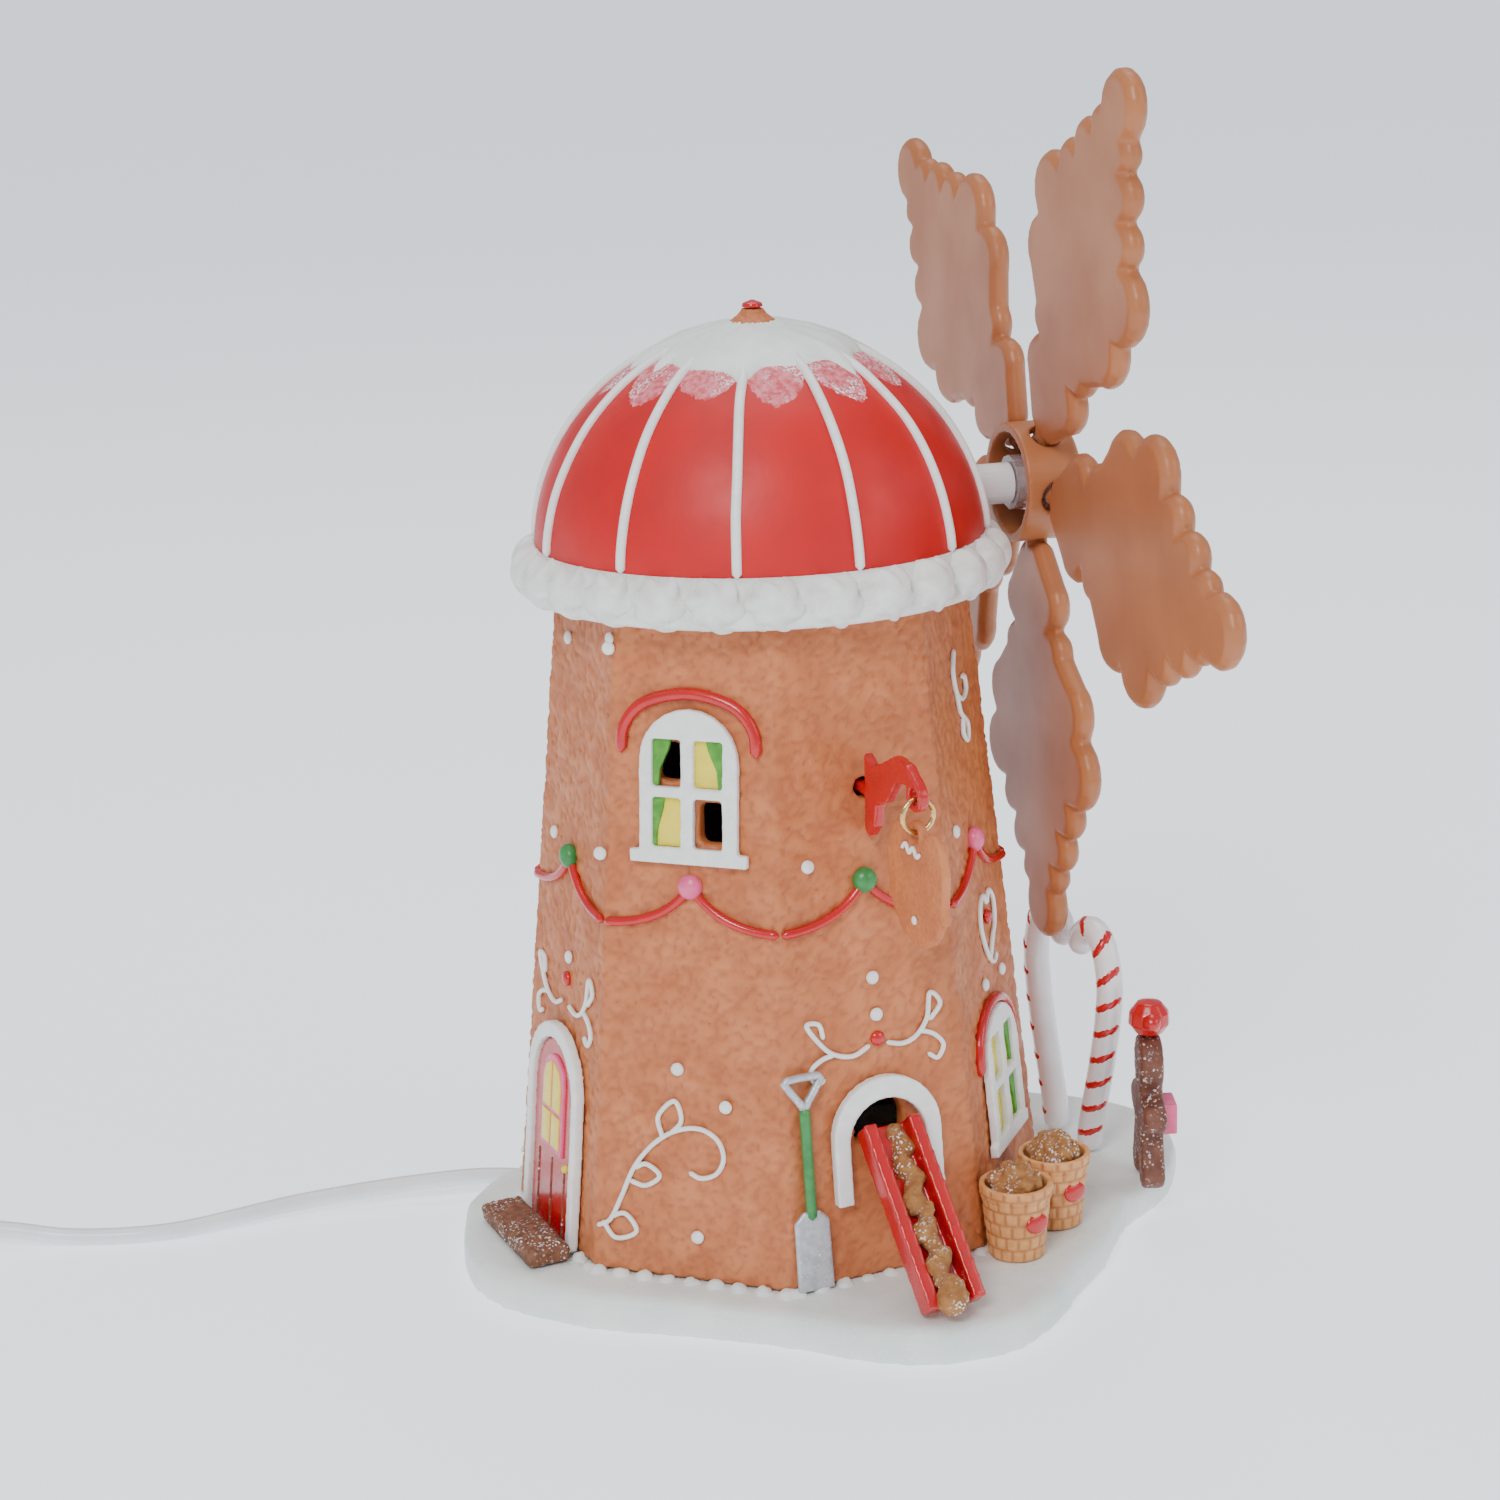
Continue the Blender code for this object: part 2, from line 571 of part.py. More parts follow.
def make_sign(red, gold, plate_finish):
    place = sign_place()
    half = BRACKET_THICK / 2
    wall = face_distance(PIN_Z)
    pin_end = wall - TOWER_WALL
    scroll = [(pin_end, PIN_Z - 1.2), (wall + 2.2, PIN_Z - 1.2), (wall + 1.8, 119.5), (wall + 4.4, 118.6),
              (wall + 7.2, 121.8), (wall + 8.4, 127.4), (wall + 13.6, 129.2), (wall + 19.0, 135.4)]
    scroll += arc((SIGN_REACH, EYE_Z + 0.6), EYE_R + 1.7, 150.0, 420.0, 12)
    scroll += [(wall + 24.2, 140.8), (wall + 18.0, 141.6), (wall + 11.5, 138.4), (wall + 6.0, 136.2),
               (wall + 2.2, 138.6), (wall + 2.2, PIN_Z + 1.2), (pin_end, PIN_Z + 1.2)]
    bracket = extruded("sign_bracket", scroll, -half, half, red, place)
    eye = turned("eye_cut", [(0, -4), (EYE_R, -4), (EYE_R, 4), (0, 4)], red,
                 place @ Matrix.Translation((SIGN_REACH, EYE_Z + 0.6, 0)), sides=16)
    cut(bracket, cutter("eye_cut", eye))

    ring_z = EYE_Z - RING_R
    wire = arc((RING_R, 0.0), RING_WIRE_R, 0.0, 315.0, 7)
    ring = turned("sign_ring", wire, gold, place @ Matrix.Translation((SIGN_REACH, ring_z, 0)) @ ALONG_X, sides=24)

    hole_z = ring_z - RING_R - 0.6
    plate = extruded("sign_plate", sign_outline(hole_z), -SIGN_THICK / 2, SIGN_THICK / 2, plate_finish,
                     place, round_edge=0.5, segments=1)
    hole = turned("plate_cut", [(0, -4), (EYE_R, -4), (EYE_R, 4), (0, 4)], plate_finish,
                  place @ Matrix.Translation((SIGN_REACH, hole_z, 0)), sides=16)
    cut(plate, cutter("plate_cut", hole))

    hang_on(joint_empty("ring_pivot", place @ Vector((SIGN_REACH, EYE_Z, 0))), ring)
    hang_on(joint_empty("plate_pivot", place @ Vector((SIGN_REACH, ring_z - RING_R, 0))), plate)


def sign_outline(hole_z):
    """A scalloped plate: a round tab over the hole and three scallops along each long edge."""
    half, top = SIGN_WIDTH / 2, hole_z - 1.4
    bottom = top - SIGN_HEIGHT + 1.4
    left, right = SIGN_REACH - half, SIGN_REACH + half
    points = arc((SIGN_REACH, hole_z), EYE_R + 1.5, -20.0, 200.0, 10)
    points += arc((SIGN_REACH - half / 2, top - 3.0), half / 2 - 1.0, 75.0, 175.0, 4)
    points += [(left, top - 5.0), (left + 1.0, (top + bottom) / 2), (left, bottom + 9.0)]
    points += arc((SIGN_REACH, bottom + half - 1.0), half - 1.0, 205.0, 335.0, 8)
    points += [(right, bottom + 9.0), (right - 1.0, (top + bottom) / 2), (right, top - 5.0)]
    points += arc((SIGN_REACH + half / 2, top - 3.0), half / 2 - 1.0, 5.0, 105.0, 4)
    return points


# ---------------------------------------------------------------- roof

def dome_height(radius, offset=0.0):
    """Height of the dome's skin above its foot, offset inward by a wall."""
    return (DOME_RISE - offset) * math.sqrt(max(0.0, 1.0 - (radius / (DOME_R - offset)) ** 2))


def make_roof(dome_red, icing, gingerbread, cherry, bush_plastic):
    skirt = DOME_FOOT_Z - 1.7
    seat_z = DOME_FOOT_Z + dome_height(DOME_FLAT_R)
    outer = []
    for i in range(8):
        radius = DOME_R * math.cos(math.radians(82.0 * i / 7))
        outer.append((radius, DOME_FOOT_Z + dome_height(radius)))
    inner = []
    for i in range(7):
        radius = (DOME_R - DOME_WALL) * math.cos(math.radians(90.0 * (6 - i) / 6))
        inner.append((radius, DOME_FOOT_Z + dome_height(radius, DOME_WALL)))
    profile = [(DOME_R, skirt)] + outer + [(0.0, outer[-1][1])] + inner + [(DOME_R - DOME_WALL, skirt)]
    dome = turned("roof_dome", profile, dome_red, sides=32)
    bush_r = AXLE_R + 2.2
    near, far = DOME_R - 16.0, DOME_R + 10.0
    hole = turned("axle_hole", [(0, near), (bush_r + GAP, near), (bush_r + GAP, far), (0, far)], dome_red,
                  Matrix.Translation(AXLE_CENTRE) @ ALONG_X, sides=24)
    cut(dome, cutter("axle_hole", hole))
    bore = AXLE_R + GAP
    near, far = DOME_R - 6.0, DOME_R - 0.2
    turned("axle_bush", [(bore, near), (bush_r, near), (bush_r, far), (bore, far)], bush_plastic,
           Matrix.Translation(AXLE_CENTRE) @ ALONG_X, sides=24)

    low = TOWER_TOP_Z + GAP
    high = low + COLLAR_HEIGHT
    ledge = skirt - GAP
    lip = DOME_R + GAP
    turned("icing_collar", [(DOME_R - 10, low), (COLLAR_RIM_R, low), (COLLAR_RIM_R, low + 2.4),
                            (COLLAR_R - 0.6, low + 3.2), (COLLAR_R, low + 6.5), (COLLAR_R - 1.0, high - 2.2),
                            (lip + 1.6, high), (lip, high - 0.6), (lip, ledge), (DOME_R - 10, ledge)],
           icing, sides=32)

    knob_z = seat_z + GAP
    turned("finial_knob", [(0, knob_z), (7.0, knob_z), (6.6, knob_z + 1.2), (3.6, knob_z + 3.4), (2.7, knob_z + 4.8),
                           (0, knob_z + 4.8)], gingerbread, sides=24)
    drop_z = knob_z + 4.8 + GAP
    turned("finial_drop", [(0, drop_z), (2.7, drop_z), (2.4, drop_z + 1.0), (0, drop_z + 1.9)], cherry, sides=16)


# ---------------------------------------------------------------- motor and drive

DECK_THICK = 2.4


def gear_outline(teeth, clearance=0.05):
    """Straight-flanked teeth: short tips and wide gaps, so that a pair turns without touching."""
    pitch_r = GEAR_MODULE * teeth / 2
    root, tip = pitch_r - 1.25 * GEAR_MODULE, pitch_r + (0.85 - clearance) * GEAR_MODULE
    points = []
    for i in range(teeth):
        for radius, share in ((root, -0.31), (tip, -0.11), (tip, 0.11), (root, 0.31)):
            angle = math.tau * (i + share) / teeth
            points.append((radius * math.cos(angle), radius * math.sin(angle)))
    return points


def make_drive(metal, steel, nylon, white_plastic):
    deck_z = TOWER_TOP_Z + GAP
    deck_r = DOME_R - 10 - GAP
    deck = turned("motor_deck", [(0, deck_z), (deck_r, deck_z), (deck_r, deck_z + DECK_THICK), (0, deck_z + DECK_THICK)],
                  steel, sides=32)
    lead_hole = turned("lead_hole", [(0, deck_z - 5), (4, deck_z - 5), (4, deck_z + 9), (0, deck_z + 9)], steel,
                       Matrix.Translation((-24, 0, 0)), sides=12)
    cut(deck, cutter("lead_hole", lead_hole))

    foot_z = deck_z + DECK_THICK + GAP
    top_z = PINION_CENTRE.z + 9.0
    angle_plate = [(PLATE_X + PLATE_THICK, foot_z), (PLATE_X + PLATE_THICK, top_z), (PLATE_X, top_z),
                   (PLATE_X, foot_z + 2.0), (PLATE_X - 18, foot_z + 2.0), (PLATE_X - 18, foot_z)]
    side_on = Matrix(((1, 0, 0, 0), (0, 0, -1, 0), (0, 1, 0, 0), (0, 0, 0, 1)))
    bracket = extruded("motor_bracket", angle_plate, -13.0, 13.0, steel, side_on)
    for name, centre, radius in (("axle_bore", AXLE_CENTRE, SPIGOT_R + GAP), ("pinion_bore", PINION_CENTRE, SHAFT_R + 2 * GAP)):
        tool = turned(name, [(0, 0), (radius, 0), (radius, 30), (0, 30)], steel,
                      Matrix.Translation(centre) @ ALONG_X, sides=16)
        cut(bracket, cutter(name, tool))

    motor_front = PLATE_X - GAP
    turned("motor_can", [(0, motor_front - MOTOR_DEPTH), (MOTOR_R - 1, motor_front - MOTOR_DEPTH),
                         (MOTOR_R, motor_front - MOTOR_DEPTH + 1), (MOTOR_R, motor_front), (0, motor_front)],
           metal, Matrix.Translation(PINION_CENTRE) @ ALONG_X, sides=28)

    gear_end = GEAR_X + GEAR_WIDTH
    to_axle = Matrix.Translation(AXLE_CENTRE) @ ALONG_X
    gear = extruded("drive_gear", gear_outline(GEAR_TEETH), GEAR_X, gear_end, nylon, to_axle)
    gear_bore = turned("gear_bore", [(0, 0), (SPIGOT_R + GAP, 0), (SPIGOT_R + GAP, 40), (0, 40)], nylon, to_axle,
                       sides=16)
    cut(gear, cutter("gear_bore", gear_bore))

    # the pinion's tooth gap faces the gear's tooth, which points straight up at local -X
    to_pinion = Matrix.Translation(PINION_CENTRE) @ ALONG_X @ Matrix.Rotation(math.pi / PINION_TEETH, 4, "Z")
    pinion = extruded("motor_pinion", gear_outline(PINION_TEETH), PLATE_X + PLATE_THICK + GAP, gear_end + 0.5,
                      white_plastic, to_pinion)
    pinion_hole = turned("pinion_hole", [(0, 0), (SHAFT_R + GAP, 0), (SHAFT_R + GAP, 40), (0, 40)], nylon, to_pinion,
                         sides=12)
    cut(pinion, cutter("pinion_hole", pinion_hole))
    shaft = turned("motor_shaft", [(0, PLATE_X), (SHAFT_R, PLATE_X), (SHAFT_R, gear_end + 1.5), (0, gear_end + 1.5)],
                   steel, to_pinion, sides=12)

    shoulder, nose, end = GEAR_X + GEAR_WIDTH + GAP, HUB_BACK_X + 0.2, HUB_BACK_X + 10.0
    axle = turned("axle", [(0, PLATE_X + 0.3), (SPIGOT_R, PLATE_X + 0.3), (SPIGOT_R, shoulder), (AXLE_R, shoulder),
                           (AXLE_R, nose), (3.6, nose), (3.6, end), (0, end)], white_plastic, to_axle, sides=24)
    return [axle, gear], [pinion, shaft]


# ---------------------------------------------------------------- rotor

# Lobes up one side of a blade: radial place from the tip's lobe, chordwise place, radius
SIDE_LOBES = [
    (-80.0, 9.5, 7.0), (-68.0, 12.0, 5.8), (-54.0, 21.5, 8.8), (-39.0, 24.0, 9.6), (-26.5, 17.5, 5.8),
    (-17.0, 11.6, 6.0), (-8.5, 7.0, 4.4),
]
TIP_LOBE_R = 9.0
BLADE_LOBES = SIDE_LOBES + [(0.0, 0.0, TIP_LOBE_R)] + [(r, -chord, size) for r, chord, size in reversed(SIDE_LOBES)]
WAIST_ANGLE = 52.0             # where the edge leaves a lobe that its neighbour doesn't reach


def crossing_angles(first, second):
    """Angles at which the outline leaves one lobe and joins the next, going anticlockwise."""
    dx, dy = second[0] - first[0], second[1] - first[1]
    distance = math.hypot(dx, dy)
    heading = math.atan2(dy, dx)
    if distance >= first[2] + second[2]:
        waist = math.radians(WAIST_ANGLE)
        return heading - waist, heading + math.pi + waist
    along = (distance ** 2 + first[2] ** 2 - second[2] ** 2) / (2 * distance)
    leave = heading - math.acos(along / first[2])
    join = heading + math.pi + math.acos((distance - along) / second[2])
    return leave, join


def blade_outline(step=24.0):
    lobes = [(chord, BLADE_REACH + radial, radius) for radial, chord, radius in BLADE_LOBES]
    neck, shoulder = PEG_HALF + 2.4, HUB_R + GAP
    peg_end = HUB_R - HUB_WALL - 0.6
    points = [(-PEG_HALF, peg_end), (PEG_HALF, peg_end), (PEG_HALF, shoulder), (neck, shoulder)]
    joined = math.radians(-60.0)
    for i, lobe in enumerate(lobes):
        last = i == len(lobes) - 1
        leave, join = (math.radians(240.0), 0.0) if last else crossing_angles(lobe, lobes[i + 1])
        sweep = (leave - joined) % math.tau
        count = max(2, round(math.degrees(sweep) / step))
        points += [(lobe[0] + lobe[2] * math.cos(joined + sweep * k / count),
                    lobe[1] + lobe[2] * math.sin(joined + sweep * k / count)) for k in range(count + 1)]
        joined = join
    points += [(-neck, shoulder), (-PEG_HALF, shoulder)]
    return drop_repeats(points)


def drop_repeats(points):
    kept = []
    for point in points:
        if not kept or math.dist(point, kept[-1]) > 0.05:
            kept.append(point)
    return kept


def blade_place(number):
    """X along the chord, Y outward from the axle, Z through the blade."""
    turn = math.radians(BLADE_START + 360.0 * number / BLADE_COUNT + BLADE_LEANS[number])
    outward = Vector((0, -math.sin(turn), math.cos(turn)))
    around = Vector((0, -math.cos(turn), -math.sin(turn)))
    chord = -around
    centre = AXLE_CENTRE + Vector((HUB_BACK_X + HUB_DEPTH / 2, 0, 0))
    return Matrix.Translation(centre) @ Matrix((chord, outward, chord.cross(outward))).transposed().to_4x4()


def make_rotor(blade_plastic, clear_plastic):
    to_axle = Matrix.Translation(AXLE_CENTRE) @ ALONG_X
    back, front = HUB_BACK_X, HUB_BACK_X + HUB_DEPTH
    floor = front - 3.0
    inside = HUB_R - HUB_WALL
    hub = turned("rotor_hub", [(inside, back), (HUB_R, back), (HUB_R, front - 1.5), (HUB_R - 1.5, front), (0, front),
                               (0, floor), (inside, floor)], blade_plastic, to_axle, sides=40)
    socket_r = math.hypot(PEG_HALF, BLADE_THICK / 2) + GAP
    for number in range(BLADE_COUNT):
        tool = turned("socket", [(0, 5), (socket_r, 5), (socket_r, 20), (0, 20)], blade_plastic,
                      blade_place(number) @ Matrix.Rotation(math.radians(-90.0), 4, "X"), sides=16)
        cut(hub, cutter("socket_%d" % (number + 1), tool))

    sleeve_bore = 3.6 + GAP
    turned("hub_sleeve", [(sleeve_bore, back + 0.5), (7.0, back + 0.5), (7.0, floor - GAP), (sleeve_bore, floor - GAP)],
           clear_plastic, to_axle, sides=12)

    half = BLADE_THICK / 2
    blades = [extruded("blade_%d" % (number + 1), blade_outline(), -half, half, blade_plastic, blade_place(number),
                       round_edge=1.7, segments=1) for number in range(BLADE_COUNT)]
    return [hub, bpy.data.objects["hub_sleeve"]] + blades


# ---------------------------------------------------------------- lamp and mains lead

def make_lamp(white_plastic, glass, grey):
    z = COVER_THICK + GAP
    turned("lamp_holder", [(0, z), (11, z), (11, z + 3), (7.5, z + 4), (7.5, z + 20), (0, z + 20)], white_plastic, sides=20)
    foot = z + 20 + GAP
    turned("bulb", [(0, foot), (5.0, foot), (5.4, foot + 5), (8.6, foot + 14), (8.8, foot + 20), (7.0, foot + 27),
                    (3.0, foot + 33), (0, foot + 35)], glass, sides=20)
    start = exit_place() @ Vector((0, 0, -GLAND_LENGTH - GAP))
    route = [start, start + Vector((9.6, -2.8, 0)), start + Vector((19.2, -5.6, 0.2)), (-25, 27, 9), (-23.5, 25, 22),
             (-25, 22, 50), (-27, 12, 100), (-26, 4, TOWER_TOP_Z - 31), (-24, 0, TOWER_TOP_Z - 5),
             (-24, 0, TOWER_TOP_Z + 13), (-21, 0, PINION_CENTRE.z - 11.2),
             (-14, 0, PINION_CENTRE.z), (-7.6, 0, PINION_CENTRE.z)]
    tube("motor_lead", smooth_path(route, 8.0), 1.4, grey, resolution=1)


# Hand-chosen points of the free cord, from the gland to the switch
CORD_TO_SWITCH = [
    (-61.8, 38.9, 5.0), (-70.0, 40.4, 5.8), (-80.0, 42.0, 5.9), (-98.7, 44.9, 5.0), (-120.3, 45.9, 3.9),
    (-134.0, 44.6, 3.2), (-147.2, 42.8, 2.7), (-156.0, 42.8, 2.4), (-165.2, 44.0, 2.4), (-174.0, 46.4, 2.4),
    (-183.0, 49.4, 2.8), (-193.0, 52.5, 4.6), (-202.4, 55.6, 5.8),
]
# From the switch to the coil
CORD_TO_COIL = [
    (-245.6, 70.5, 5.8), (-254.0, 73.2, 5.0), (-264.0, 77.0, 3.2), (-275.0, 82.0, 2.5), (-285.0, 87.6, 2.4),
    (-293.6, 94.4, 2.4), (-297.9, 103.2, 2.4),
]
# From the coil to the plug
CORD_TO_PLUG = [
    (-297.1, 134.8, 2.4), (-291.6, 144.3, 2.4), (-284.5, 153.2, 3.0), (-275.0, 160.2, 5.2), (-264.0, 164.6, 7.4),
    (-253.0, 166.2, 8.0),
]
PLUG_HEADING = 10.0


def make_lead(cord_white, white_plastic, brass):
    grip_r = CORD_R + 1.0
    turned("cord_gland", [(0, -GLAND_LENGTH), (grip_r, -GLAND_LENGTH), (grip_r, -1.0), (grip_r - 0.5, 0), (0, 0)],
           white_plastic, exit_place(), sides=16)
    spacing = 5.5 * CORD_R
    tube("cord_to_switch", smooth_path(CORD_TO_SWITCH, spacing), CORD_R, cord_white)
    tube("cord_to_coil", smooth_path(CORD_TO_COIL, spacing), CORD_R, cord_white)
    tube("cord_to_plug", smooth_path(CORD_TO_PLUG, spacing), CORD_R, cord_white)
    inner, outer = COIL_MID_R - COIL_HALF_WIDTH, COIL_MID_R + COIL_HALF_WIDTH
    turned("cord_coil", [(inner, 1.0), (inner + 1, 0), (outer - 1, 0), (outer, 1.0), (outer, COIL_HEIGHT - 1),
                         (outer - 1, COIL_HEIGHT), (inner + 1, COIL_HEIGHT), (inner, COIL_HEIGHT - 1)],
           cord_white, Matrix.Translation((*COIL_CENTRE, 0)), sides=32)

    place = Matrix.Translation((*SWITCH_CENTRE, 0)) @ Matrix.Rotation(math.radians(SWITCH_HEADING), 4, "Z")
    half, waist, high = SWITCH_LENGTH / 2, 7.0, 12.0
    body = [(-half, -3.2), (-half + 9, -waist), (half - 9, -waist), (half, -3.2), (half, 3.2), (half - 9, waist),
            (-half + 9, waist), (-half, 3.2)]
    switch = extruded("switch_body", body, 0.1, high, white_plastic, place, round_edge=1.2, segments=1)
    well = extruded("rocker_well", [(-7.6, -4.3), (7.6, -4.3), (7.6, 4.3), (-7.6, 4.3)], high - 5.0, high + 5,
                    white_plastic, place)
    cut(switch, cutter("rocker_well", well))
    pivot = place @ Vector((0, 0, high - 1.0))
    rocker_side = [(-6.8, 0.2), (-5.6, -2.2), (5.6, -2.2), (6.8, 0.2), (6.6, 1.9), (0, 0.9), (-6.6, 1.9)]
    stand = Matrix(((1, 0, 0, 0), (0, 0, -1, 0), (0, 1, 0, 0), (0, 0, 0, 1)))
    tilt = Matrix.Rotation(math.radians(ROCKER_TILT), 4, "Y")
    turn = Matrix.Rotation(math.radians(SWITCH_HEADING), 4, "Z")
    rocker = extruded("switch_rocker", rocker_side, -3.9, 3.9, white_plastic,
                      Matrix.Translation(pivot) @ turn @ tilt @ stand)
    hang_on(joint_empty("rocker_pivot", pivot), rocker)

    end = Vector(CORD_TO_PLUG[-1])
    plug_place = Matrix.Translation(end) @ Matrix.Rotation(math.radians(PLUG_HEADING), 4, "Z") @ ALONG_X
    turned("plug_grip", [(0, GAP), (3.4, GAP), (4.4, 12.0), (0, 12.0)], white_plastic, plug_place, sides=16)
    plug_low, plug_high = 12.0 + GAP, 31.0
    head = [(-7.8, -7.0), (7.8, -7.0), (7.8, 7.0), (-7.8, 7.0)]
    extruded("plug_body", head, plug_low, plug_high, white_plastic, plug_place, round_edge=2.0, segments=2)
    for number, across in ((1, -6.35), (2, 6.35)):
        blade = [(-3.2, across - 0.75), (3.2, across - 0.75), (3.2, across + 0.75), (-3.2, across + 0.75)]
        extruded("plug_blade_%d" % number, blade, plug_high + GAP, plug_high + 16.0, brass, plug_place)


# ---------------------------------------------------------------- the whole object

def main():
    clear_scene()
    gingerbread = finish("gingerbread", (0.70, 0.23, 0.10), 0.6)
    porcelain = finish("porcelain_snow", (0.80, 0.84, 0.80), 0.45)
    icing = finish("icing_white", (0.87, 0.87, 0.84), 0.4)
    candy = finish("candy_white", (0.88, 0.86, 0.86), 0.25)
    red = finish("candy_red", (0.60, 0.01, 0.02), 0.3)
    dome_red = finish("dome_red", (0.62, 0.02, 0.02), 0.4)
    dough = finish("dough", (0.42, 0.18, 0.06), 0.8)
    wicker = finish("wicker", (0.72, 0.36, 0.12), 0.55)
    brown = finish("dark_biscuit", (0.16, 0.05, 0.03), 0.5)
    green = finish("green_paint", (0.05, 0.30, 0.08), 0.4)
    silver = finish("silver_paint", (0.60, 0.62, 0.64), 0.35, 0.8)
    gold = finish("gold_wire", (0.80, 0.52, 0.20), 0.25, 1.0)
    blade_plastic = finish("blade_plastic", (0.46, 0.18, 0.08), 0.4)
    clear_plastic = finish("clear_plastic", (0.75, 0.70, 0.70), 0.1)
    white_plastic = finish("white_plastic", (0.82, 0.80, 0.80), 0.3)
    cord_white = finish("cord_white", (0.84, 0.85, 0.86), 0.35)
    grey = finish("lead_grey", (0.50, 0.50, 0.50), 0.4)
    steel = finish("steel", (0.55, 0.56, 0.58), 0.35, 1.0)
    metal = finish("motor_metal", (0.60, 0.60, 0.62), 0.3, 1.0)
    nylon = finish("nylon", (0.78, 0.76, 0.70), 0.4)
    brass = finish("brass", (0.70, 0.50, 0.22), 0.3, 1.0)
    glass = finish("bulb_glass", (0.90, 0.90, 0.86), 0.05)
    cover_plastic = finish("cover_plastic", (0.08, 0.08, 0.08), 0.5)

    make_base(porcelain, cover_plastic, steel)
    make_tower(gingerbread)
    make_windows_and_door(icing, red, brown)
    make_chute(red, dough, icing)
    make_shovel(green, silver)
    make_buckets(wicker, dough)
    make_candy_canes(candy)
    make_figure(brown, red)
    make_sign(red, gold, gingerbread)
    make_roof(dome_red, icing, gingerbread, red, white_plastic)
    axle_pieces, pinion_pieces = make_drive(metal, steel, nylon, white_plastic)
    rotor_pieces = make_rotor(blade_plastic, clear_plastic)
    hang_on(joint_empty("rotor_pivot", AXLE_CENTRE), *axle_pieces, *rotor_pieces)
    hang_on(joint_empty("pinion_pivot", PINION_CENTRE), *pinion_pieces)
    make_lamp(white_plastic, glass, grey)
    make_lead(cord_white, white_plastic, brass)


main()
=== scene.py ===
"""Looks of the lit gingerbread windmill figurine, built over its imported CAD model.

Lengths are in millimetres and scaled by MM. +Z is up, +X runs along the rotor's axle, and the chute
and the sign are on the -Y side. Face places are given as a viewer's right and a height.
"""
import json
import math

import bmesh
import bpy
from mathutils import Matrix, Vector, noise

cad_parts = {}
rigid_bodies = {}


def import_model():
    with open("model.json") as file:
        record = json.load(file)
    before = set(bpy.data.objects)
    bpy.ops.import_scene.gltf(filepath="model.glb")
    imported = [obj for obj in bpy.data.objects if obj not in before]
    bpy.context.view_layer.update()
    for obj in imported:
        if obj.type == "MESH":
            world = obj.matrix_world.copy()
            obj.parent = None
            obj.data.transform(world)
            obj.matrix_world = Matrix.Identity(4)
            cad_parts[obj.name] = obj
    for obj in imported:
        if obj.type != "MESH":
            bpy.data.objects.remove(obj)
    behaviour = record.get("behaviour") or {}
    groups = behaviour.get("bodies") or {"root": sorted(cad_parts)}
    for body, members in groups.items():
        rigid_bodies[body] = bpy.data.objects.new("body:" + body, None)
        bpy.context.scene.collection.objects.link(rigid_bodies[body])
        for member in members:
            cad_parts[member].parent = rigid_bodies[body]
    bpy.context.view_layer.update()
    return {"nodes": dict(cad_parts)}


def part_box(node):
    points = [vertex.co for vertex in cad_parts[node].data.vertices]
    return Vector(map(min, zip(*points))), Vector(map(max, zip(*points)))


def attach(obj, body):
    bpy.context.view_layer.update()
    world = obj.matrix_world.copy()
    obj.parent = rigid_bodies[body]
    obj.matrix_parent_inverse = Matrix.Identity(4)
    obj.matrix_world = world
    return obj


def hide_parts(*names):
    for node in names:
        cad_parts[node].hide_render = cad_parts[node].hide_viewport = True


MM = 0.001

for leftover in list(bpy.data.objects):
    bpy.data.objects.remove(leftover, do_unlink=True)
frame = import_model()
NODES = frame["nodes"]


def low(node):
    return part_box(node)[0] / MM


def high(node):
    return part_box(node)[1] / MM


# ---------------------------------------------------------------- sizes read from the frame

TOWER_TURN = 7.5               # degrees the tower's faces are turned from the axle
HALF_FACE = math.radians(22.5)
TOWER_FOOT_Z = low("tower_shell").z
TOWER_TOP_Z = high("tower_shell").z


def corner_at(height):
    """Largest distance from the axis among the tower's corners at a height."""
    spots = [v.co / MM for v in NODES["tower_shell"].data.vertices]
    return max(math.hypot(p.x, p.y) for p in spots if abs(p.z - height) < 0.5)


TOWER_FOOT_R = corner_at(TOWER_FOOT_Z)
TOWER_TOP_R = corner_at(TOWER_TOP_Z)
SNOW_Z = high("snow_base").z
AXLE_Z = (low("axle_bush").z + high("axle_bush").z) / 2
DOME_R = high("roof_dome").x
DOME_FOOT_Z = low("roof_dome").z + 1.7
DOME_RISE = 54.0

SIDE_WINDOW, CHUTE, UPPER_WINDOW, DOOR = -45.0, -90.0, -135.0, 180.0
ALL_FACES = [0.0, SIDE_WINDOW, CHUTE, UPPER_WINDOW, DOOR, 135.0, 90.0, 45.0]
ALONG_X = Matrix.Rotation(math.radians(90.0), 4, "Y")


def face_distance(z):
    share = (z - TOWER_FOOT_Z) / (TOWER_TOP_Z - TOWER_FOOT_Z)
    return (TOWER_FOOT_R + (TOWER_TOP_R - TOWER_FOOT_R) * share) * math.cos(HALF_FACE)


def face_place(azimuth, z, out=0.0):
    """Matrix at a face's middle at height z: X to a viewer's right, Y up the slope, Z outward."""
    turn = math.radians(azimuth + TOWER_TURN)
    outward = Vector((math.cos(turn), math.sin(turn), 0.0))
    right = Vector((-math.sin(turn), math.cos(turn), 0.0))
    lean = (face_distance(TOWER_FOOT_Z) - face_distance(TOWER_TOP_Z)) / (TOWER_TOP_Z - TOWER_FOOT_Z)
    up = (Vector((0, 0, 1)) - outward * lean).normalized()
    normal = right.cross(up)
    origin = outward * face_distance(z) + Vector((0, 0, z)) + normal * out
    return Matrix.Translation(origin) @ Matrix((right, up, normal)).transposed().to_4x4()


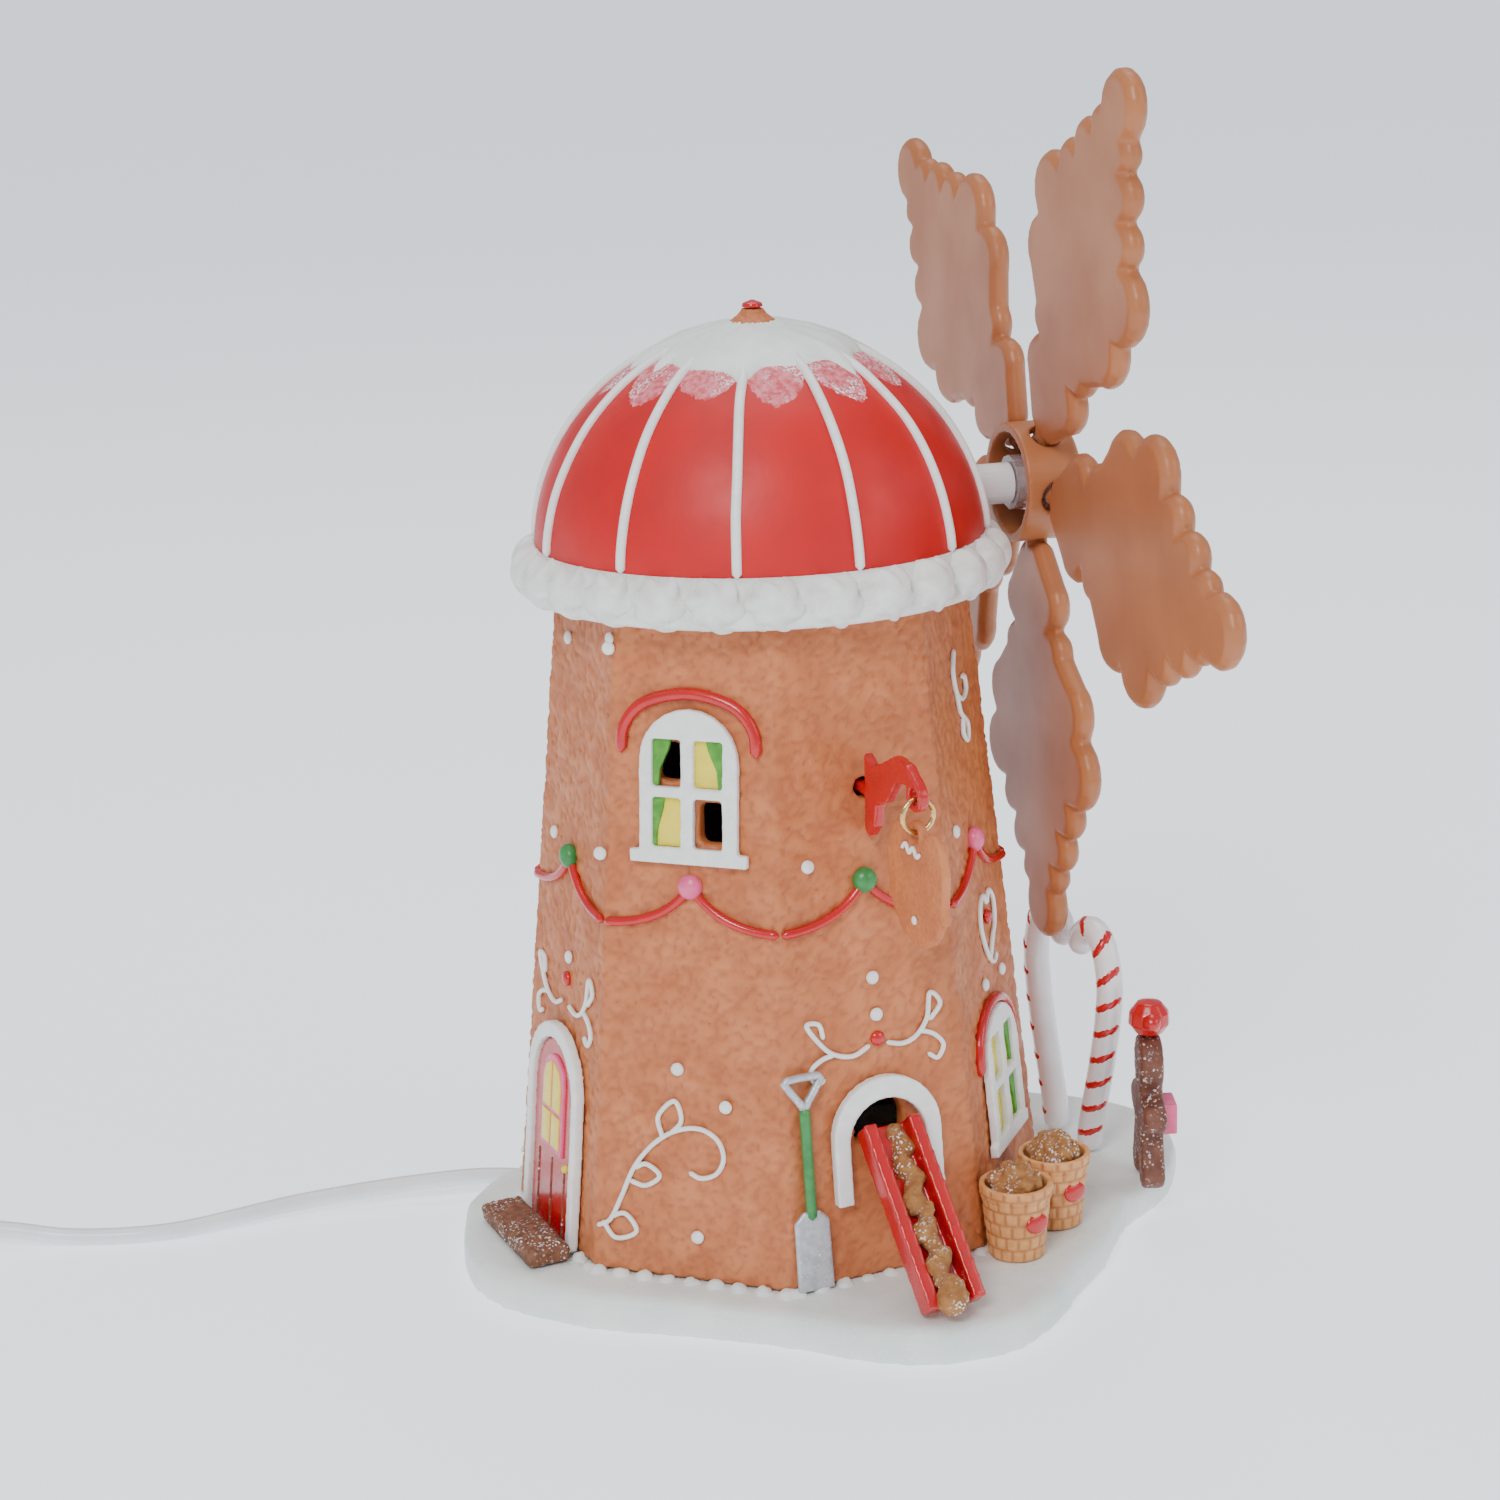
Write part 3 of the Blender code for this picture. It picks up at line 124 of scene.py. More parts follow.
def on_face(azimuth, x, z, out=0.3):
    return face_place(azimuth, z, out) @ Vector((x, 0.0, 0.0))


def dome_height(radius):
    return DOME_FOOT_Z + DOME_RISE * math.sqrt(max(0.0, 1.0 - (radius / DOME_R) ** 2))


# ---------------------------------------------------------------- camera, stage and light

def make_camera():
    right = Vector((0.9558, -0.2922, -0.0326)).normalized()
    up = Vector((0.1065, 0.2405, 0.9648))
    up = (up - right * up.dot(right)).normalized()
    back = right.cross(up)
    data = bpy.data.cameras.new("photo_camera")
    data.lens = 73.45
    data.sensor_width = 36.0
    data.clip_end = 100.0
    camera = bpy.data.objects.new("photo_camera", data)
    place = Matrix((right, up, back)).transposed().to_4x4()
    place.translation = Vector((-216.2, -715.5, 329.2)) * MM
    camera.matrix_world = place
    bpy.context.scene.collection.objects.link(camera)
    bpy.context.scene.camera = camera


def make_area_light(name, position, target, width, power):
    data = bpy.data.lights.new(name, "AREA")
    data.shape = "DISK"
    data.size = width
    data.energy = power
    light = bpy.data.objects.new(name, data)
    light.location = position
    aim = Vector(target) - Vector(position)
    light.rotation_euler = aim.to_track_quat("-Z", "Y").to_euler()
    bpy.context.scene.collection.objects.link(light)


def make_stage():
    bm = bmesh.new()
    bmesh.ops.create_circle(bm, cap_ends=True, radius=30.0, segments=96)
    mesh = bpy.data.meshes.new("floor")
    bm.to_mesh(mesh)
    bm.free()
    floor = bpy.data.objects.new("floor", mesh)
    bpy.context.scene.collection.objects.link(floor)
    paper = bpy.data.materials.new("stage_paper")
    paper.use_nodes = True
    shader = paper.node_tree.nodes["Principled BSDF"]
    shader.inputs["Base Color"].default_value = (0.80, 0.82, 0.85, 1.0)
    shader.inputs["Roughness"].default_value = 0.7
    shader.inputs["Emission Color"].default_value = (0.86, 0.93, 1.0, 1.0)
    shader.inputs["Emission Strength"].default_value = 0.85
    mesh.materials.append(paper)

    world = bpy.data.worlds.new("studio")
    world.use_nodes = True
    background = world.node_tree.nodes["Background"]
    background.inputs["Color"].default_value = (0.90, 0.94, 1.0, 1.0)
    background.inputs["Strength"].default_value = 0.55
    bpy.context.scene.world = world
    middle = (0.0, 0.0, 0.12)
    make_area_light("key", (-0.9, -1.3, 1.5), middle, 0.8, 26.0)
    make_area_light("fill", (1.3, -1.0, 0.9), middle, 1.0, 6.0)
    make_area_light("top", (0.1, 0.4, 1.7), middle, 1.2, 10.0)


# ---------------------------------------------------------------- materials

def surface(name, light, dark, mottle=6.0, roughness=(0.35, 0.55), grain=0.5, depth=0.05, metallic=0.0,
            coat=0.0, transmission=0.0, glitter=0.0, painted_hollow_shade=None):
    """Two mottled colours, a roughness that wanders, a fine bump, and optional sugar glitter.

    mottle and grain are sizes of the patches and the bump in millimetres, depth is the bump's height,
    glitter the share of grains that sparkle, and the hollow colour is painted shade: a darker colour laid into the
    hollows of a carved piece.
    """
    material = bpy.data.materials.new(name)
    material.use_nodes = True
    nodes, links = material.node_tree.nodes, material.node_tree.links
    shader = nodes["Principled BSDF"]
    where = nodes.new("ShaderNodeTexCoord").outputs["Object"]

    def field(size, detail=3.0):
        texture = nodes.new("ShaderNodeTexNoise")
        texture.inputs["Scale"].default_value = 1.0 / (size * MM)
        texture.inputs["Detail"].default_value = detail
        links.new(where, texture.inputs["Vector"])
        return texture.outputs["Fac"]

    def ramp(source, start, end, low_value=0.0, high_value=1.0):
        node = nodes.new("ShaderNodeMapRange")
        node.inputs["From Min"].default_value = start
        node.inputs["From Max"].default_value = end
        node.inputs["To Min"].default_value = low_value
        node.inputs["To Max"].default_value = high_value
        links.new(source, node.inputs["Value"])
        return node.outputs["Result"]

    def mix(share, first, second):
        node = nodes.new("ShaderNodeMix")
        node.data_type = "RGBA"
        links.new(share, node.inputs["Factor"])
        for socket, colour in ((node.inputs[6], first), (node.inputs[7], second)):
            if isinstance(colour, tuple):
                socket.default_value = (*colour, 1.0)
            else:
                links.new(colour, socket)
        return node.outputs[2]

    patches = field(mottle)
    colour = mix(ramp(patches, 0.35, 0.65), light, dark)
    # Painted shade: the colour darkens towards the hollow shade colour in the carved hollows, where shade falls.
    if painted_hollow_shade:
        carved = nodes.new("ShaderNodeAttribute")
        carved.attribute_name = "relief"
        colour = mix(ramp(carved.outputs["Fac"], 0.0, 1.0), painted_hollow_shade, colour)
    rough = ramp(patches, 0.3, 0.7, *roughness)
    height = field(grain, 2.0)
    if glitter:
        grains = nodes.new("ShaderNodeTexVoronoi")
        grains.inputs["Scale"].default_value = 1.0 / (0.45 * MM)
        links.new(where, grains.inputs["Vector"])
        pick = nodes.new("ShaderNodeSeparateColor")
        links.new(grains.outputs["Color"], pick.inputs["Color"])
        patch = ramp(field(9.0, 2.0), 0.42, 0.62)
        sparkle = nodes.new("ShaderNodeMath")
        sparkle.operation = "MULTIPLY"
        links.new(ramp(pick.outputs["Red"], 1.0 - glitter, 1.0 - glitter + 0.04), sparkle.inputs[0])
        links.new(patch, sparkle.inputs[1])
        colour = mix(sparkle.outputs[0], colour, (0.95, 0.95, 0.97))
        rough = ramp(sparkle.outputs[0], 0.0, 1.0, roughness[1], 0.12)
        raised = nodes.new("ShaderNodeMath")
        raised.operation = "ADD"
        links.new(height, raised.inputs[0])
        links.new(sparkle.outputs[0], raised.inputs[1])
        height = raised.outputs[0]
    links.new(colour, shader.inputs["Base Color"])
    links.new(rough, shader.inputs["Roughness"])
    bump = nodes.new("ShaderNodeBump")
    bump.inputs["Strength"].default_value = 1.0
    bump.inputs["Distance"].default_value = depth * MM
    links.new(height, bump.inputs["Height"])
    links.new(bump.outputs["Normal"], shader.inputs["Normal"])
    shader.inputs["Metallic"].default_value = metallic
    shader.inputs["Coat Weight"].default_value = coat
    shader.inputs["Coat Roughness"].default_value = 0.12
    shader.inputs["Transmission Weight"].default_value = transmission
    return material


FINISH = {
    # The last colour is painted shade, laid into the hollows of the carved gingerbread relief.
    "gingerbread": surface("gingerbread_paint", (0.62, 0.200, 0.066), (0.52, 0.150, 0.046),
                           9.0, (0.42, 0.6), 0.9, 0.10, painted_hollow_shade=(0.40, 0.100, 0.030)),
    "snow": surface("snow_glaze", (0.86, 0.89, 0.86), (0.76, 0.82, 0.78),
                    14.0, (0.3, 0.5), 1.1, 0.10, glitter=0.16),
    "icing": surface("icing_paint", (0.90, 0.90, 0.87), (0.82, 0.82, 0.79), 3.0, (0.3, 0.45), 0.6, 0.04),
    "shells": surface("shell_icing", (0.88, 0.88, 0.85), (0.76, 0.75, 0.71), 4.0, (0.35, 0.5), 0.6, 0.06,
                      glitter=0.06),
    "dome": surface("dome_paint", (0.60, 0.002, 0.004), (0.52, 0.001, 0.003), 16.0, (0.42, 0.55), 1.4, 0.03),
    "pink_frost": surface("pink_frost", (0.80, 0.24, 0.28), (0.62, 0.05, 0.07), 1.6, (0.3, 0.5), 0.5, 0.12,
                          glitter=0.35),
    "red": surface("candy_red_paint", (0.58, 0.003, 0.006), (0.50, 0.002, 0.004),
                   5.0, (0.18, 0.32), 0.8, 0.02, coat=0.4),
    "pink": surface("pink_paint", (0.84, 0.13, 0.28), (0.76, 0.09, 0.22), 3.0, (0.25, 0.4), 0.6, 0.03),
    "green": surface("green_paint", (0.045, 0.27, 0.065), (0.030, 0.20, 0.045), 3.0, (0.25, 0.4), 0.6, 0.03),
    "curtain": surface("curtain_paint", (0.10, 0.36, 0.035), (0.06, 0.26, 0.02), 2.2, (0.3, 0.5), 0.6, 0.06),
    "yellow": surface("yellow_pane", (0.90, 0.74, 0.06), (0.84, 0.66, 0.04), 3.0, (0.2, 0.35), 0.8, 0.02),
    "dough": surface("sugared_dough", (0.42, 0.19, 0.055), (0.29, 0.11, 0.028), 2.4, (0.55, 0.8), 0.5, 0.16,
                     glitter=0.18),
    # The last colour is painted shade, laid into the grooves between the cone's pressed blocks.
    "wicker": surface("cone_paint", (0.78, 0.38, 0.14), (0.66, 0.28, 0.09), 3.0, (0.4, 0.6), 0.5, 0.06,
                      painted_hollow_shade=(0.46, 0.17, 0.05)),
    "biscuit": surface("dark_biscuit_paint", (0.19, 0.065, 0.035), (0.12, 0.035, 0.02),
                       3.0, (0.35, 0.55), 0.6, 0.08, glitter=0.10),
    "plank": surface("plank_paint", (0.24, 0.095, 0.045), (0.13, 0.045, 0.02), 2.0, (0.5, 0.7), 0.6, 0.15,
                     glitter=0.14),
    "silver": surface("silver_paint", (0.62, 0.64, 0.67), (0.48, 0.50, 0.53), 2.0, (0.25, 0.45), 0.4, 0.04,
                      metallic=0.6, glitter=0.10),
    "gold": surface("gold_wire", (0.82, 0.55, 0.24), (0.70, 0.43, 0.16),
                    2.0, (0.18, 0.3), 0.5, 0.01, metallic=1.0),
    "candy": surface("candy_glaze", (0.90, 0.87, 0.88), (0.84, 0.79, 0.81),
                     8.0, (0.10, 0.2), 1.0, 0.02, coat=0.5),
    "blade": surface("blade_plastic", (0.44, 0.150, 0.052), (0.38, 0.122, 0.040),
                     22.0, (0.36, 0.46), 0.5, 0.025),
    "clear": surface("clear_plastic", (0.92, 0.82, 0.82), (0.88, 0.76, 0.76), 4.0, (0.05, 0.15), 0.8, 0.02,
                     transmission=0.8),
    "white_plastic": surface("white_plastic", (0.86, 0.82, 0.82), (0.80, 0.76, 0.76),
                             10.0, (0.22, 0.34), 0.7, 0.02),
    "cord": surface("lead_pvc", (0.86, 0.87, 0.88), (0.80, 0.81, 0.83), 12.0, (0.22, 0.34), 1.2, 0.02),
    "grey": surface("inner_lead", (0.50, 0.50, 0.50), (0.42, 0.42, 0.42), 6.0, (0.35, 0.5), 0.8, 0.02),
    "steel": surface("zinc_steel", (0.56, 0.57, 0.60), (0.44, 0.45, 0.48), 4.0, (0.28, 0.45), 0.5, 0.02,
                     metallic=1.0),
    "nylon": surface("natural_nylon", (0.78, 0.76, 0.69), (0.72, 0.70, 0.62), 6.0, (0.35, 0.5), 0.6, 0.02),
    "brass": surface("stamped_brass", (0.74, 0.54, 0.24), (0.62, 0.43, 0.17), 3.0, (0.2, 0.35), 0.4, 0.02,
                     metallic=1.0),
    "glass": surface("bulb_glass", (0.95, 0.95, 0.92), (0.92, 0.92, 0.88), 9.0, (0.02, 0.06), 2.0, 0.01,
                     transmission=0.95),
    "cover": surface("cover_plastic", (0.05, 0.05, 0.05), (0.035, 0.035, 0.035), 5.0, (0.4, 0.55), 0.5, 0.05),
}
NODE_FINISH = {
    "gingerbread": ["tower_shell", "sign_plate", "finial_knob"], "snow": ["snow_base"],
    "icing": ["upper_window", "side_window", "door_frame", "chute_arch", "icing_collar"],
    "red": ["front_door", "chute", "sign_bracket", "finial_drop", "figure_bow"],
    "dough": ["chute_dough", "bucket_front_dough", "bucket_back_dough"],
    "wicker": ["bucket_front", "bucket_back"],
    "biscuit": ["ginger_figure"], "plank": ["door_step"],
    "silver": ["shovel_blade"], "green": ["shovel_handle"],
    "gold": ["sign_ring"], "candy": ["candy_cane_left", "candy_cane_right"], "dome": ["roof_dome"],
    "blade": ["rotor_hub"] + ["blade_%d" % (i + 1) for i in range(5)], "clear": ["hub_sleeve"],
    "white_plastic": ["axle", "axle_bush", "motor_pinion", "lamp_holder", "cord_gland", "switch_body",
                      "switch_rocker", "plug_grip", "plug_body"],
    "cord": ["cord_to_switch", "cord_to_coil", "cord_to_plug", "cord_coil"], "grey": ["motor_lead"],
    "steel": ["cover_screw_1", "cover_screw_2", "cover_screw_3", "motor_deck", "motor_bracket", "motor_shaft",
              "motor_can"],
    "nylon": ["drive_gear"], "brass": ["plug_blade_1", "plug_blade_2"],
    "glass": ["bulb"], "cover": ["bottom_cover"],
}


def paint_nodes():
    for finish, names in NODE_FINISH.items():
        for name in names:
            mesh = NODES[name].data
            mesh.materials.clear()
            mesh.materials.append(FINISH[finish])


# ---------------------------------------------------------------- shape tools

def settle(obj, finish, body="tower", nodes=()):
    """Give a finished piece its material and its body, and hide the CAD nodes it stands for."""
    obj.data.materials.clear()
    obj.data.materials.append(FINISH[finish])
    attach(obj, body)
    if nodes:
        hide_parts(*nodes)
    return obj


def linked(name, data):
    obj = bpy.data.objects.new(name, data)
    bpy.context.scene.collection.objects.link(obj)
    return obj


def from_builder(name, bm, place=Matrix.Identity(4)):
    """An object from a bmesh in millimetres, placed by a matrix in millimetres."""
    bmesh.ops.recalc_face_normals(bm, faces=bm.faces)
    bm.transform(place)
    bm.transform(Matrix.Scale(MM, 4))
    mesh = bpy.data.meshes.new(name)
    bm.to_mesh(mesh)
    bm.free()
    mesh.shade_smooth()
    return linked(name, mesh)


def apply_modifiers(obj):
    graph = bpy.context.evaluated_depsgraph_get()
    mesh = bpy.data.meshes.new_from_object(obj.evaluated_get(graph))
    obj.modifiers.clear()
    obj.data = mesh
    return obj


def rounded(obj, voxel, rounds):
    """Remesh into even small faces and soften the edges."""
    weld = obj.modifiers.new("weld", "WELD")
    weld.merge_threshold = 1e-6
    remesh = obj.modifiers.new("even", "REMESH")
    remesh.mode = "VOXEL"
    remesh.voxel_size = voxel * MM
    soften = obj.modifiers.new("soften", "SMOOTH")
    soften.factor = 0.5
    soften.iterations = rounds
    apply_modifiers(obj)
    obj.data.shade_smooth()
    return obj


def carve(obj, relief, deepest):
    """Move each point along its normal by relief(point), and keep 0..1 (0 at the deepest) for the painted shade in
    the hollows.
    """
    hollow_shade_share = obj.data.attributes.new("relief", "FLOAT", "POINT")
    moves = [relief(v.co / MM, v.normal) for v in obj.data.vertices]
    spots = [v.co + v.normal * move * MM for v, move in zip(obj.data.vertices, moves)]
    for vertex, spot in zip(obj.data.vertices, spots):
        vertex.co = spot
    for entry, move in zip(hollow_shade_share.data, moves):
        entry.value = min(1.0, max(0.0, 1.0 + move / deepest))
    return obj


def softened(node, name, finish, voxel=0.6, rounds=3, body="tower", relief=None, deepest=0.4):
    """A rounded, carved copy of a CAD node that stands for it."""
    obj = linked(name, NODES[node].data.copy())
    rounded(obj, voxel, rounds)
    if relief:
        carve(obj, relief, deepest)
    return settle(obj, finish, body, [node])


def smooth_path(points, spacing):
    """Points about spacing apart on the Catmull-Rom curve through the given points."""
    knots = [Vector(p) for p in points]
    ends = [knots[0] * 2 - knots[1]] + knots + [knots[-1] * 2 - knots[-2]]
    path = [knots[0]]
    for i in range(len(knots) - 1):
        a, b, c, d = ends[i:i + 4]
        steps = max(1, round((c - b).length / spacing))
        for k in range(1, steps + 1):
            t = k / steps
            path.append(0.5 * (2 * b + (c - a) * t + (2 * a - 5 * b + 4 * c - d) * t ** 2
                               + (3 * b - a - 3 * c + d) * t ** 3))
    return path


def path_length(path):
    return sum((b - a).length for a, b in zip(path, path[1:]))


def line_object(name, paths, radius, tapered=True, sides=3):
    """Round lines along paths, each with its ends drawn to a round point."""
    curve = bpy.data.curves.new(name, "CURVE")
    curve.dimensions = "3D"
    curve.bevel_depth = radius * MM
    curve.bevel_resolution = sides
    curve.use_fill_caps = True
    for path in paths:
        spline = curve.splines.new("POLY")
        spline.points.add(len(path) - 1)
        total, run = path_length(path), 0.0
        for i, point in enumerate(path):
            run += (point - path[i - 1]).length if i else 0.0
            near = min(run, total - run) / radius
            spline.points[i].co = (*(point * MM), 1.0)
            if tapered:
                spline.points[i].radius = max(0.25, math.sqrt(max(0.0, 1.0 - (1.0 - min(1.0, near)) ** 2)))
    return linked(name, curve)


def piped(name, hand_points, radius, finish, body="tower", nodes=()):
    """Piped icing or painted relief lines through given points."""
    paths = [smooth_path(points, radius * 0.9) for points in hand_points]
    return settle(line_object(name, paths, radius), finish, body, nodes)


def balls(name, spots, finish, body="tower", nodes=()):
    """Slightly uneven drops, each given by its centre matrix and its three half sizes."""
    bm = bmesh.new()
    for place, sizes in spots:
        made = bmesh.ops.create_uvsphere(bm, u_segments=20, v_segments=12, radius=1.0)
        for vertex in made["verts"]:
            swell = 1.0 + 0.05 * noise.noise(vertex.co * 1.7 + place.translation)
            vertex.co = place @ Vector(c * s * swell for c, s in zip(vertex.co, sizes))
    return settle(from_builder(name, bm), finish, body, nodes)


def lumps(name, spots, finish, voxel, roughness, body="tower", nodes=()):
    """Balls of given centre and radius run together into one lumpy mass."""
    bm = bmesh.new()
    for centre, radius in spots:
        bmesh.ops.create_icosphere(bm, subdivisions=3, radius=radius, matrix=Matrix.Translation(centre))
    obj = rounded(from_builder(name, bm), voxel, 2)
    carve(obj, lambda p, n: roughness * noise.noise(p * 0.55) + 0.5 * roughness * noise.noise(p * 1.3),
          roughness)
    return settle(obj, finish, body, nodes)


def turned_builder(profile, sides):
    bm = bmesh.new()
    corners = [bm.verts.new((r, 0.0, z)) for r, z in profile]
    edges = [bm.edges.new((corners[i], corners[(i + 1) % len(corners)])) for i in range(len(corners))]
    on_axis = [e for e in edges if all(abs(v.co.x) < 1e-9 for v in e.verts)]
    edges = [e for e in edges if e not in on_axis]
    bmesh.ops.delete(bm, geom=on_axis, context="EDGES")
    bmesh.ops.spin(bm, geom=corners + edges, cent=(0, 0, 0), axis=(0, 0, 1), angle=math.tau, steps=sides,
                   use_merge=True)
    bmesh.ops.remove_doubles(bm, verts=bm.verts, dist=1e-4)
    return bm


def slab(name, outline, thick, place, finish, edge=0.3, body="tower", nodes=()):
    """A flat plate on an outline, Z from 0 to thick, with its upper rim rounded."""
    bm = bmesh.new()
    face = bm.faces.new([bm.verts.new((x, y, 0.0)) for x, y in outline])
    grown = bmesh.ops.extrude_face_region(bm, geom=[face])
    top = [v for v in grown["geom"] if isinstance(v, bmesh.types.BMVert)]
    bmesh.ops.translate(bm, vec=(0, 0, thick), verts=top)
    rim = [e for e in bm.edges if all(v in top for v in e.verts)]
    bmesh.ops.bevel(bm, geom=rim, offset=edge, segments=3, profile=0.5, affect="EDGES")
    obj = from_builder(name, bm, place)
    obj.data.set_sharp_from_angle(angle=math.radians(50.0))
    return settle(obj, finish, body, nodes)


def arc(centre, radius, start, end, steps):
    angles = [math.radians(start + (end - start) * i / steps) for i in range(steps + 1)]
    return [(centre[0] + radius * math.cos(a), centre[1] + radius * math.sin(a)) for a in angles]


# ---------------------------------------------------------------- tower, snow base and collar

def pebbled(size, groove, facing=None):
    """Relief of rounded pressed patches about size mm wide with creases groove mm deep, where facing allows."""
    def relief(point, normal):
        if facing and not facing(point, normal):
            return 0.0
        stretched = Vector((point.x, point.y, point.z * 1.3))
        rise = abs(noise.noise(stretched * (1.6 / size))) + 0.45 * abs(noise.noise(stretched * (3.1 / size)))
        return groove * (min(1.0, 2.6 * rise) - 1.0)
    return relief


def outer_skin(point, normal):
    return point.x * normal.x + point.y * normal.y > 0.6 * math.hypot(point.x, point.y)


def snow_swell(point, normal):
    return max(0.0, normal.z) * (0.45 * noise.noise(point * 0.045) + 0.10 * noise.noise(point * 0.35))


def make_tower():
    softened("tower_shell", "tower_skin", "gingerbread", voxel=1.0, rounds=1,
             relief=pebbled(5.2, 0.55, outer_skin), deepest=0.70)
    softened("snow_base", "snow_ground", "snow", voxel=1.3, rounds=6, relief=snow_swell)
    drift = []
    for azimuth in ALL_FACES:
        half = face_distance(SNOW_Z) * math.tan(HALF_FACE)
        for i in range(9):
            x = half * (i - 4) / 4.2
            radius = 2.6 + 0.9 * noise.noise(Vector((x * 0.21, azimuth, 3.0)))
            drift.append((on_face(azimuth, x, SNOW_Z, 0.6) - Vector((0, 0, 1.1)), radius))
    lumps("snow_drift", drift, "snow", 0.8, 0.35)


SHELL_COUNT = 26
SHELL_RING_R = 55.8
SHELL_MID_Z = 176.9
SHELL_OUT, SHELL_WIDE, SHELL_TALL = 6.6, 6.9, 6.3
SHELL_RIDGES = 6.0
SHELL_TWIST = 4.2
RIDGE_DEPTH = 0.15


def make_collar():
    """A plain band under a border of twisted shells that touch their neighbours."""
    foot = low("icing_collar").z
    bm = turned_builder([(46, foot), (58.6, foot), (59.4, foot + 0.8), (59.4, foot + 2.6), (58.2, foot + 4.2),
                         (56.4, foot + 9.0), (56.4, foot + 12.0), (46, foot + 6.0)], 96)
    for number in range(SHELL_COUNT):
        turn = math.tau * (number + 0.5) / SHELL_COUNT
        place = Matrix.Rotation(turn, 4, "Z") @ Matrix.Translation((SHELL_RING_R, 0, SHELL_MID_Z))
        add_shell(bm, place, noise.noise(Vector((number * 1.7, 0, 0))))
    settle(from_builder("icing_border", bm), "shells", nodes=["icing_collar"])


def add_shell(bm, place, unevenness):
    """One dollop: X outward, with six ridges that wind round the outward axis."""
    made = bmesh.ops.create_uvsphere(bm, u_segments=36, v_segments=20, radius=1.0)
    for vertex in made["verts"]:
        x, y, z = vertex.co
        spread = math.hypot(y, z)
        ridge = 1.0 + RIDGE_DEPTH * spread * math.cos(SHELL_RIDGES * math.atan2(z, y) + SHELL_TWIST * x
                                                     + unevenness)
        tall = SHELL_TALL + 0.4 * unevenness
        vertex.co = place @ Vector((SHELL_OUT * x, SHELL_WIDE * y * ridge, tall * z * ridge))


# ---------------------------------------------------------------- windows and door

PANE_LEFT, PANE_RIGHT = -5.6, 5.0
PANE_LOW, PANE_HIGH = 4.0, 18.6
PANE_WIDTH, PANE_HEIGHT = 7.8, 11.9
UPPER_SILL_Z = 113.0
SIDE_SILL_Z = 28.5
CURTAIN_BACK, GLASS_BACK = 0.25, 0.05


def pane(name, azimuth, sill, x, y, width, height, finish, out):
    """A painted patch of window, its lower middle at (x, y) above the sill."""
    outline = [(x - width / 2, y), (x + width / 2, y),
               (x + width / 2, y + height), (x - width / 2, y + height)]
    slab(name, outline, 0.5, face_place(azimuth, sill, out), finish, edge=0.1)


def curtain(name, azimuth, sill, x, y, side, height, wide=3.6):
    """A drawn-back curtain against one side (-1 left, 1 right) of a pane centred on x."""
    edge = x + side * PANE_WIDTH / 2
    outline = [(edge, y), (edge - side * wide * 0.45, y), (edge - side * wide * 0.55, y + height * 0.35),
               (edge - side * wide * 1.15, y + height * 0.75), (edge - side * wide * 1.35, y + height),
               (edge, y + height)]
    if side > 0:
        outline.reverse()
    slab(name, outline, 1.1, face_place(azimuth, sill, CURTAIN_BACK), "curtain", edge=0.35)


def make_windows():
    softened("upper_window", "upper_frame", "icing", voxel=0.42, rounds=3)
    softened("side_window", "side_frame", "icing", voxel=0.42, rounds=3)
    pane("upper_glass_right", UPPER_WINDOW, UPPER_SILL_Z, PANE_RIGHT, PANE_HIGH, PANE_WIDTH, PANE_HEIGHT, "yellow",
         GLASS_BACK)
    pane("upper_glass_left", UPPER_WINDOW, UPPER_SILL_Z, PANE_LEFT, PANE_LOW, PANE_WIDTH, PANE_HEIGHT, "yellow",
         GLASS_BACK)
    curtain("upper_curtain_1", UPPER_WINDOW, UPPER_SILL_Z, PANE_LEFT, PANE_HIGH, -1, PANE_HEIGHT)
    curtain("upper_curtain_2", UPPER_WINDOW, UPPER_SILL_Z, PANE_RIGHT, PANE_HIGH, 1, PANE_HEIGHT)
    curtain("upper_curtain_3", UPPER_WINDOW, UPPER_SILL_Z, PANE_LEFT, PANE_LOW, -1, PANE_HEIGHT, 2.3)
    for number, (x, y) in enumerate([(PANE_LEFT, PANE_LOW), (PANE_RIGHT, PANE_LOW),
                                     (PANE_LEFT, PANE_HIGH), (PANE_RIGHT, PANE_HIGH)]):
        side = -1 if x < 0 else 1
        pane("side_glass_%d" % number, SIDE_WINDOW, SIDE_SILL_Z, x, y, PANE_WIDTH, PANE_HEIGHT, "yellow",
             GLASS_BACK)
        curtain("side_curtain_%d" % number, SIDE_WINDOW, SIDE_SILL_Z, x, y, side, PANE_HEIGHT, 2.9)
    over_upper = [(-17.8, 138.8), (-16.9, 145.5), (-11.6, 151.2), (-0.3, 153.8), (10.6, 151.4), (15.8, 146.0),
                  (16.7, 139.5)]
    over_side = [(-14.8, 50.5), (-13.4, 58.0), (-8.0, 63.4), (0.2, 65.3), (8.4, 63.4), (13.6, 58.0),
                 (15.0, 50.5)]
    piped("upper_eyebrow", [[on_face(UPPER_WINDOW, x, z, 0.5) for x, z in over_upper]], 1.5, "red")
    piped("side_eyebrow", [[on_face(SIDE_WINDOW, x, z, 0.5) for x, z in over_side]], 1.4, "red")


DOOR_FOOT_Z = 9.6


